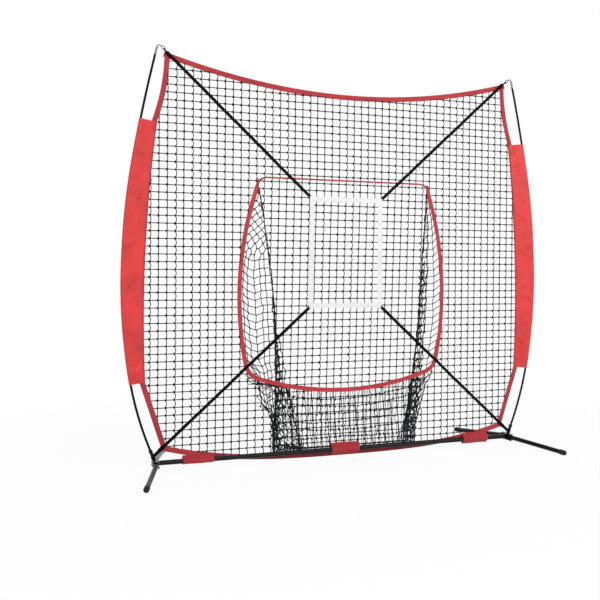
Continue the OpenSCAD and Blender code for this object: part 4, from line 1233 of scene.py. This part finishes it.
def base_wrap(name, x, above, below, back, seed):
    """Loop of cloth round the base tube and the net's bottom edge, its ends a little flared."""
    bore = TUBE_R + WRAP_EASE
    tip_y, tip_in = back - WRAP_TIP_R, WRAP_TIP_R + WRAP_CLOTH
    pegs = [(tip_y, above - tip_in, WRAP_TIP_R), (0.0, 0.0, bore), (tip_y, tip_in - below, WRAP_TIP_R)]
    spans = np.linspace(-WRAP_LEN / 2, WRAP_LEN / 2, WRAP_RINGS)
    rings = []
    for grow, order in ((WRAP_CLOTH, 1), (0.0, -1)):
        y0, z0 = peg_band([(a, b, r + grow) for a, b, r in pegs], 9, (7, 7, 7)).T
        for u in spans[::order]:
            flare = 1 + WRAP_FLARE * (abs(u) / (WRAP_LEN / 2)) ** 6
            y = y0 + WRAP_RIPPLE_Y * np.sin(55 * u + 90 * z0 + seed) * (y0 < bore * 0.9)
            z = z0 * flare + WRAP_RIPPLE_Z * np.sin(47 * u + seed) * np.sign(z0)
            rings.append(coords(x + u, y * flare, BASE_Z + z))
    shape, seam = Shape(), Shape()
    loft(shape, rings, closed=True)
    made = piece(shape, name, wrap_look, "red_fabric", name, crease=60)
    for height in (above - WRAP_SEAM_IN, TUBE_R + WRAP_SEAM_GAP, -TUBE_R - WRAP_SEAM_GAP):
        for face in (-1, 1):
            line = []
            for ring in rings[:WRAP_RINGS]:
                wall = ring[ring[:, 1] * face > 0]
                wall = wall[np.argsort(wall[:, 2])]
                y = np.interp(BASE_Z + height, wall[:, 2], wall[:, 1])
                line.append([wall[0, 0], y, BASE_Z + height])
            stitch_row(seam, line, face)
    piece(seam, name + "_stitches", thread_look, "red_fabric", name)


# ---------------- strike zone and straps

ZONE_W = 0.441
ZONE_H = 0.617
ZONE_BOTTOM_Z = 0.830
ZONE_WEB_W = 0.026
ZONE_WEB_T = 0.001
ZONE_SEAM_IN = 0.003
STRAP_W = 0.018
STRAP_T = 0.0014
STRAP_Y = 0.00925
LAYER_GAP = 0.0002
STRAP_LOOP_S = 0.021 + 0.003 + STRAP_W / 2
TAB_Y = STRAP_Y + STRAP_T + 0.0003
TAB_T = 0.00355
TAB_W = STRAP_W + 0.004
TAB_LEN = 0.034
TAB_STAGGER = 0.002
UPPER_TAB_U = 0.026
LOWER_TAB_U = 0.042
EYE_LOOP_U = 0.008
EYE_LOOP_W = 0.008
EYE_LOOP_R = 0.0036
EYE_LOOP_TIP_R = 0.0004
WEB_WAVES = (0.09, 0.23, 0.41)


def web(shape, start, end, side, width, thickness, seed, spans=8, wave=0.0006):
    """Straight strip of webbing with slightly uneven edges and a little slack."""
    start, end = np.array(start, float), np.array(end, float)
    length = np.linalg.norm(end - start)
    share = np.linspace(0, 1, max(6, round(length / 0.012)))
    slack = ripple(share * length, seed, WEB_WAVES, wave) * np.sin(math.pi * share)
    path = lerp(start, end, share[:, None]) + np.outer(slack, side)
    ribbon(shape, path, side, width, thickness, spans)


def strike_zone():
    shape, seam = Shape(), Shape()
    level_y = STRAP_Y - LAYER_GAP - ZONE_WEB_T / 2
    upright_y = level_y - LAYER_GAP - ZONE_WEB_T
    half = ZONE_WEB_W / 2
    x, z0, z1 = (ZONE_W - ZONE_WEB_W) / 2, ZONE_BOTTOM_Z, ZONE_BOTTOM_Z + ZONE_H
    uprights, levels = (-x, x), (z0 + half, z1 - half)
    for k, sx in enumerate(uprights):
        ends = [(sx, upright_y, z) for z in (z0, z1)]
        web(shape, *ends, (1, 0, 0), ZONE_WEB_W, ZONE_WEB_T, 31 + k)
    for k, z in enumerate(levels):
        ends = [(sx, level_y, z) for sx in (-ZONE_W / 2, ZONE_W / 2)]
        web(shape, *ends, (0, 0, 1), ZONE_WEB_W, ZONE_WEB_T, 33 + k)
    made = piece(shape, "strike_zone", white_look, "white_webbing", "strike_zone")
    level_y, upright_y = level_y - ZONE_WEB_T / 2, upright_y - ZONE_WEB_T / 2
    insets = (ZONE_SEAM_IN - half, half - ZONE_SEAM_IN)
    rows = []
    for inset in insets:
        rows += [[(sx, level_y, z + inset) for sx in (-x + half, x - half)] for z in levels]
        for sx in uprights:
            rows.append([(sx + inset, upright_y, z) for z in (z0 + ZONE_SEAM_IN, z1 - ZONE_SEAM_IN)])
            rows += [[(sx + k, upright_y, z + inset) for k in insets] for z in levels]
    for row in rows:
        stitch_row(seam, row, -1)
    piece(seam, "strike_zone_stitches", white_thread_look, "white_webbing", "strike_zone")


def strap(name, ends, side, seed, flip, looped):
    """Corner strap between two points, where looped with a turn round the foot of the pole."""
    shape = Shape()
    web(shape, *ends, side, STRAP_W, STRAP_T, seed, spans=5)
    length = float(np.linalg.norm(ends[1] - ends[0]))
    if looped:
        r = STRAP_Y + STRAP_T / 2
        axis = np.array([math.sin(POLE_LEAN), 0, math.cos(POLE_LEAN)]) * flip
        across = np.array([math.cos(POLE_LEAN), 0, -math.sin(POLE_LEAN)]) * flip
        a = np.linspace(0, math.tau, 33)[:-1, None]
        ring = np.cos(a) * across + np.sin(a) * np.array([0, 1, 0])
        ribbon(shape, ends[1] * [1, 0, 1] + r * ring, axis, STRAP_W, STRAP_T, 5, closed=True)
        length += math.tau * STRAP_Y
    made = piece(shape, name, black_look, "black_webbing", name)


def corner_tab(shape, goal, away, side, along, looped):
    """Three sewn layers of webbing on a net corner, where looped with a band through the hook's eye."""
    start = goal + away * along + [0, TAB_Y + TAB_T / 2, 0]
    end = goal + away * (along + TAB_LEN) + [0, TAB_Y + TAB_T / 2, 0]
    for k in range(3):
        layer = np.array([0, (k - 1) * (TAB_T / 3), 0])
        ends = (start + layer, end + layer - away * TAB_STAGGER * k)
        web(shape, *ends, side, TAB_W, TAB_T / 3 - 0.0001, 51 + k, spans=5, wave=0.0002)
    if looped:
        tip_y = TAB_Y + TAB_T - EYE_LOOP_TIP_R - STRAP_T - LAYER_GAP
        eye_peg = (EYE_LOOP_U, 0.0, EYE_LOOP_R + STRAP_T / 2)
        tip_peg = (UPPER_TAB_U, tip_y, EYE_LOOP_TIP_R + STRAP_T / 2)
        band = peg_band([eye_peg, tip_peg], 13, (4, 4))
        path = goal + band[:, :1] * away + band[:, 1:] * np.array([0, 1, 0])
        ribbon(shape, path, side, EYE_LOOP_W, STRAP_T - 0.0002, 3, closed=True)


def straps():
    """Straps from the strike zone's corners to the hooks and the poles' feet, and the net's corner tabs."""
    foot_x, foot_z, _ = ahead((HUB_X, BASE_Z, POLE_LEAN), STRAP_LOOP_S)
    x = (ZONE_W - ZONE_WEB_W) / 2
    levels = (
        ("upper", ZONE_BOTTOM_Z + ZONE_H - ZONE_WEB_W / 2, EYE, UPPER_TAB_U + 0.002, UPPER_TAB_U, 41),
        ("lower", ZONE_BOTTOM_Z + ZONE_WEB_W / 2, (foot_x, foot_z), 0.0, LOWER_TAB_U, 43),
    )
    tabs = Shape()
    for hand, flip in (("left", np.array([-1, 1, 1])), ("right", np.array([1, 1, 1]))):
        for level, z, goal, stop, along, seed in levels:
            start, goal = np.array([x, 0, z]), np.array([goal[0], 0, goal[1]])
            d = unit(goal - start)
            side = d[::-1] * [-1, 0, 1] * flip
            ends = [(p + [0, STRAP_Y + STRAP_T / 2, 0]) * flip for p in (start, goal - stop * d)]
            strap(f"{level}_{hand}_strap", ends, side, seed, flip, level == "lower")
            corner_tab(tabs, goal * flip, -d * flip, -side, along, level == "upper")
    piece(tabs, "corner_tabs", black_look, "black_webbing", "corner_tabs")


# ---------------- stage, lights and camera

EYE_POINT = (-1.862, -4.239, 1.074)
HEADING = 0.3574
PITCH = -0.0099
ROLL = 0.0074
LENS = 49.56
PHOTO_W = 600
HORIZON_DROP = -28
FLOOR_HALF = 14.0
FLOOR_SHOWN = 1.4
FLOOR_GONE = 3.0
SHADOW_VEIL = 0.93
SKY = 0.50


def only_looks(n):
    """1 for rays that only look, from the camera or through gloss or glass, and 0 for light."""
    rays = n.add("LightPath")
    seen = n.math("MAXIMUM", rays["Is Camera Ray"], rays["Is Glossy Ray"])
    return n.math("MAXIMUM", seen, rays["Is Transmission Ray"])


def stage():
    """White all round, and a floor that takes a faint shadow and fades out."""
    world = bpy.data.worlds.new("studio")
    bpy.context.scene.world = world
    n = Nodes(world)
    n.tree.nodes.clear()
    soft = n.add("Background", {"Color": (1, 1, 1, 1), "Strength": SKY})
    n.show("World", only_looks(n), soft, n.add("Background", {"Color": (1, 1, 1, 1)}))

    mesh = bpy.data.meshes.new("floor")
    h = FLOOR_HALF
    mesh.from_pydata([(-h, -h, 0), (h, -h, 0), (h, h, 0), (-h, h, 0)], [], [(0, 1, 2, 3)])
    placed("floor", mesh)
    n = material("studio floor")
    mesh.materials.append(n.owner)
    n.tree.nodes.clear()
    pale = n.add("BsdfDiffuse", {"Color": (0.93, 0.93, 0.93, 1)})
    distance = n.add("VectorMath", {0: n.place()}, operation="LENGTH")["Value"]
    fade = {"Value": distance, "From Min": FLOOR_SHOWN, "From Max": FLOOR_GONE, "To Min": SHADOW_VEIL}
    far = n.add("MapRange", fade, interpolation_type="SMOOTHSTEP")[0]
    n.show("Material", n.times(far, only_looks(n)), pale, n.add("Emission"))


def lamp(name, place, aim, size, watts, length=0):
    """Round soft lamp aimed at a point, or a level strip where it has a length."""
    data = bpy.data.lights.new(name, "AREA")
    data.shape = "RECTANGLE" if length else "DISK"
    data.size = length or size
    data.size_y = size
    data.energy = watts
    made = placed(name, data)
    made.location = place
    made.rotation_euler = (Vector(aim) - Vector(place)).to_track_quat("-Z", "Y").to_euler()


def camera():
    data = bpy.data.cameras.new("camera")
    data.sensor_fit = "HORIZONTAL"
    data.sensor_width = 36
    data.lens = LENS
    data.shift_y = HORIZON_DROP / PHOTO_W
    made = placed("camera", data)
    made.location = EYE_POINT
    level = Euler((math.pi / 2 + PITCH, 0, -HEADING)).to_matrix()
    made.rotation_euler = (level @ Euler((0, 0, ROLL)).to_matrix()).to_euler()
    bpy.context.scene.camera = made


camera()
stage()
lamp("key", (-2.6, -3.9, 4.7), aim=(0, 0, 1.3), size=2.6, watts=50)
lamp("strip", (1.0, -4.3, 2.45), aim=(0.2, 0, 1.3), size=0.5, watts=126, length=6.0)
lamp("back", (1.5, 4.0, 3.5), aim=(0, 0, 1), size=3.0, watts=48)
bpy.context.scene.view_settings.view_transform = "Standard"

main_net()
back_panel()
gusset("left", LEFT_FOLD, LEFT_SIDE, LEFT_CORDS, step=0.0235, hex_z=1.16, sag=LEFT_SAG, seed=73)
gusset("right", RIGHT_FOLD, RIGHT_SIDE, RIGHT_CORDS, step=0.030, hex_z=1.70, sag=RIGHT_SAG, seed=76)
gather("left", LEFT_FOLD, LEFT_GATHER, bold=1.1, seed=81)
gather("right", RIGHT_FOLD, RIGHT_GATHER, bold=1.4, seed=86)
slack_band("left_outer_band", LEFT_EASED, LEFT_SIDE, count=2, layers=1, seed=101)
slack_band("left_inner_band", LEFT_FOLD, LEFT_INNER, count=5, layers=2, seed=104)
slack_band("right_band", RIGHT_FOLD, RIGHT_SIDE, count=5, layers=2, seed=107)
slack_band("right_inner_band", RIGHT_INNER, RIGHT_FOLD, count=4, layers=1, seed=110)
slack_front()
crumpled_foot()
bindings()
mouth_trim()
pole_ends("left", -1)
pole_ends("right", 1)
sleeve("left", -1, 61)
sleeve("right", 1, 62)
base_wrap("left_base_wrap", -OUTER_WRAP_X, above=WRAP_ABOVE - 0.009, below=0.020, back=0.0129, seed=1)
base_wrap("middle_base_wrap", 0.0, above=WRAP_ABOVE - 0.003, below=0.034, back=0.0200, seed=2)
base_wrap("right_base_wrap", OUTER_WRAP_X, above=WRAP_ABOVE, below=0.027, back=0.0129, seed=3)
strike_zone()
straps()
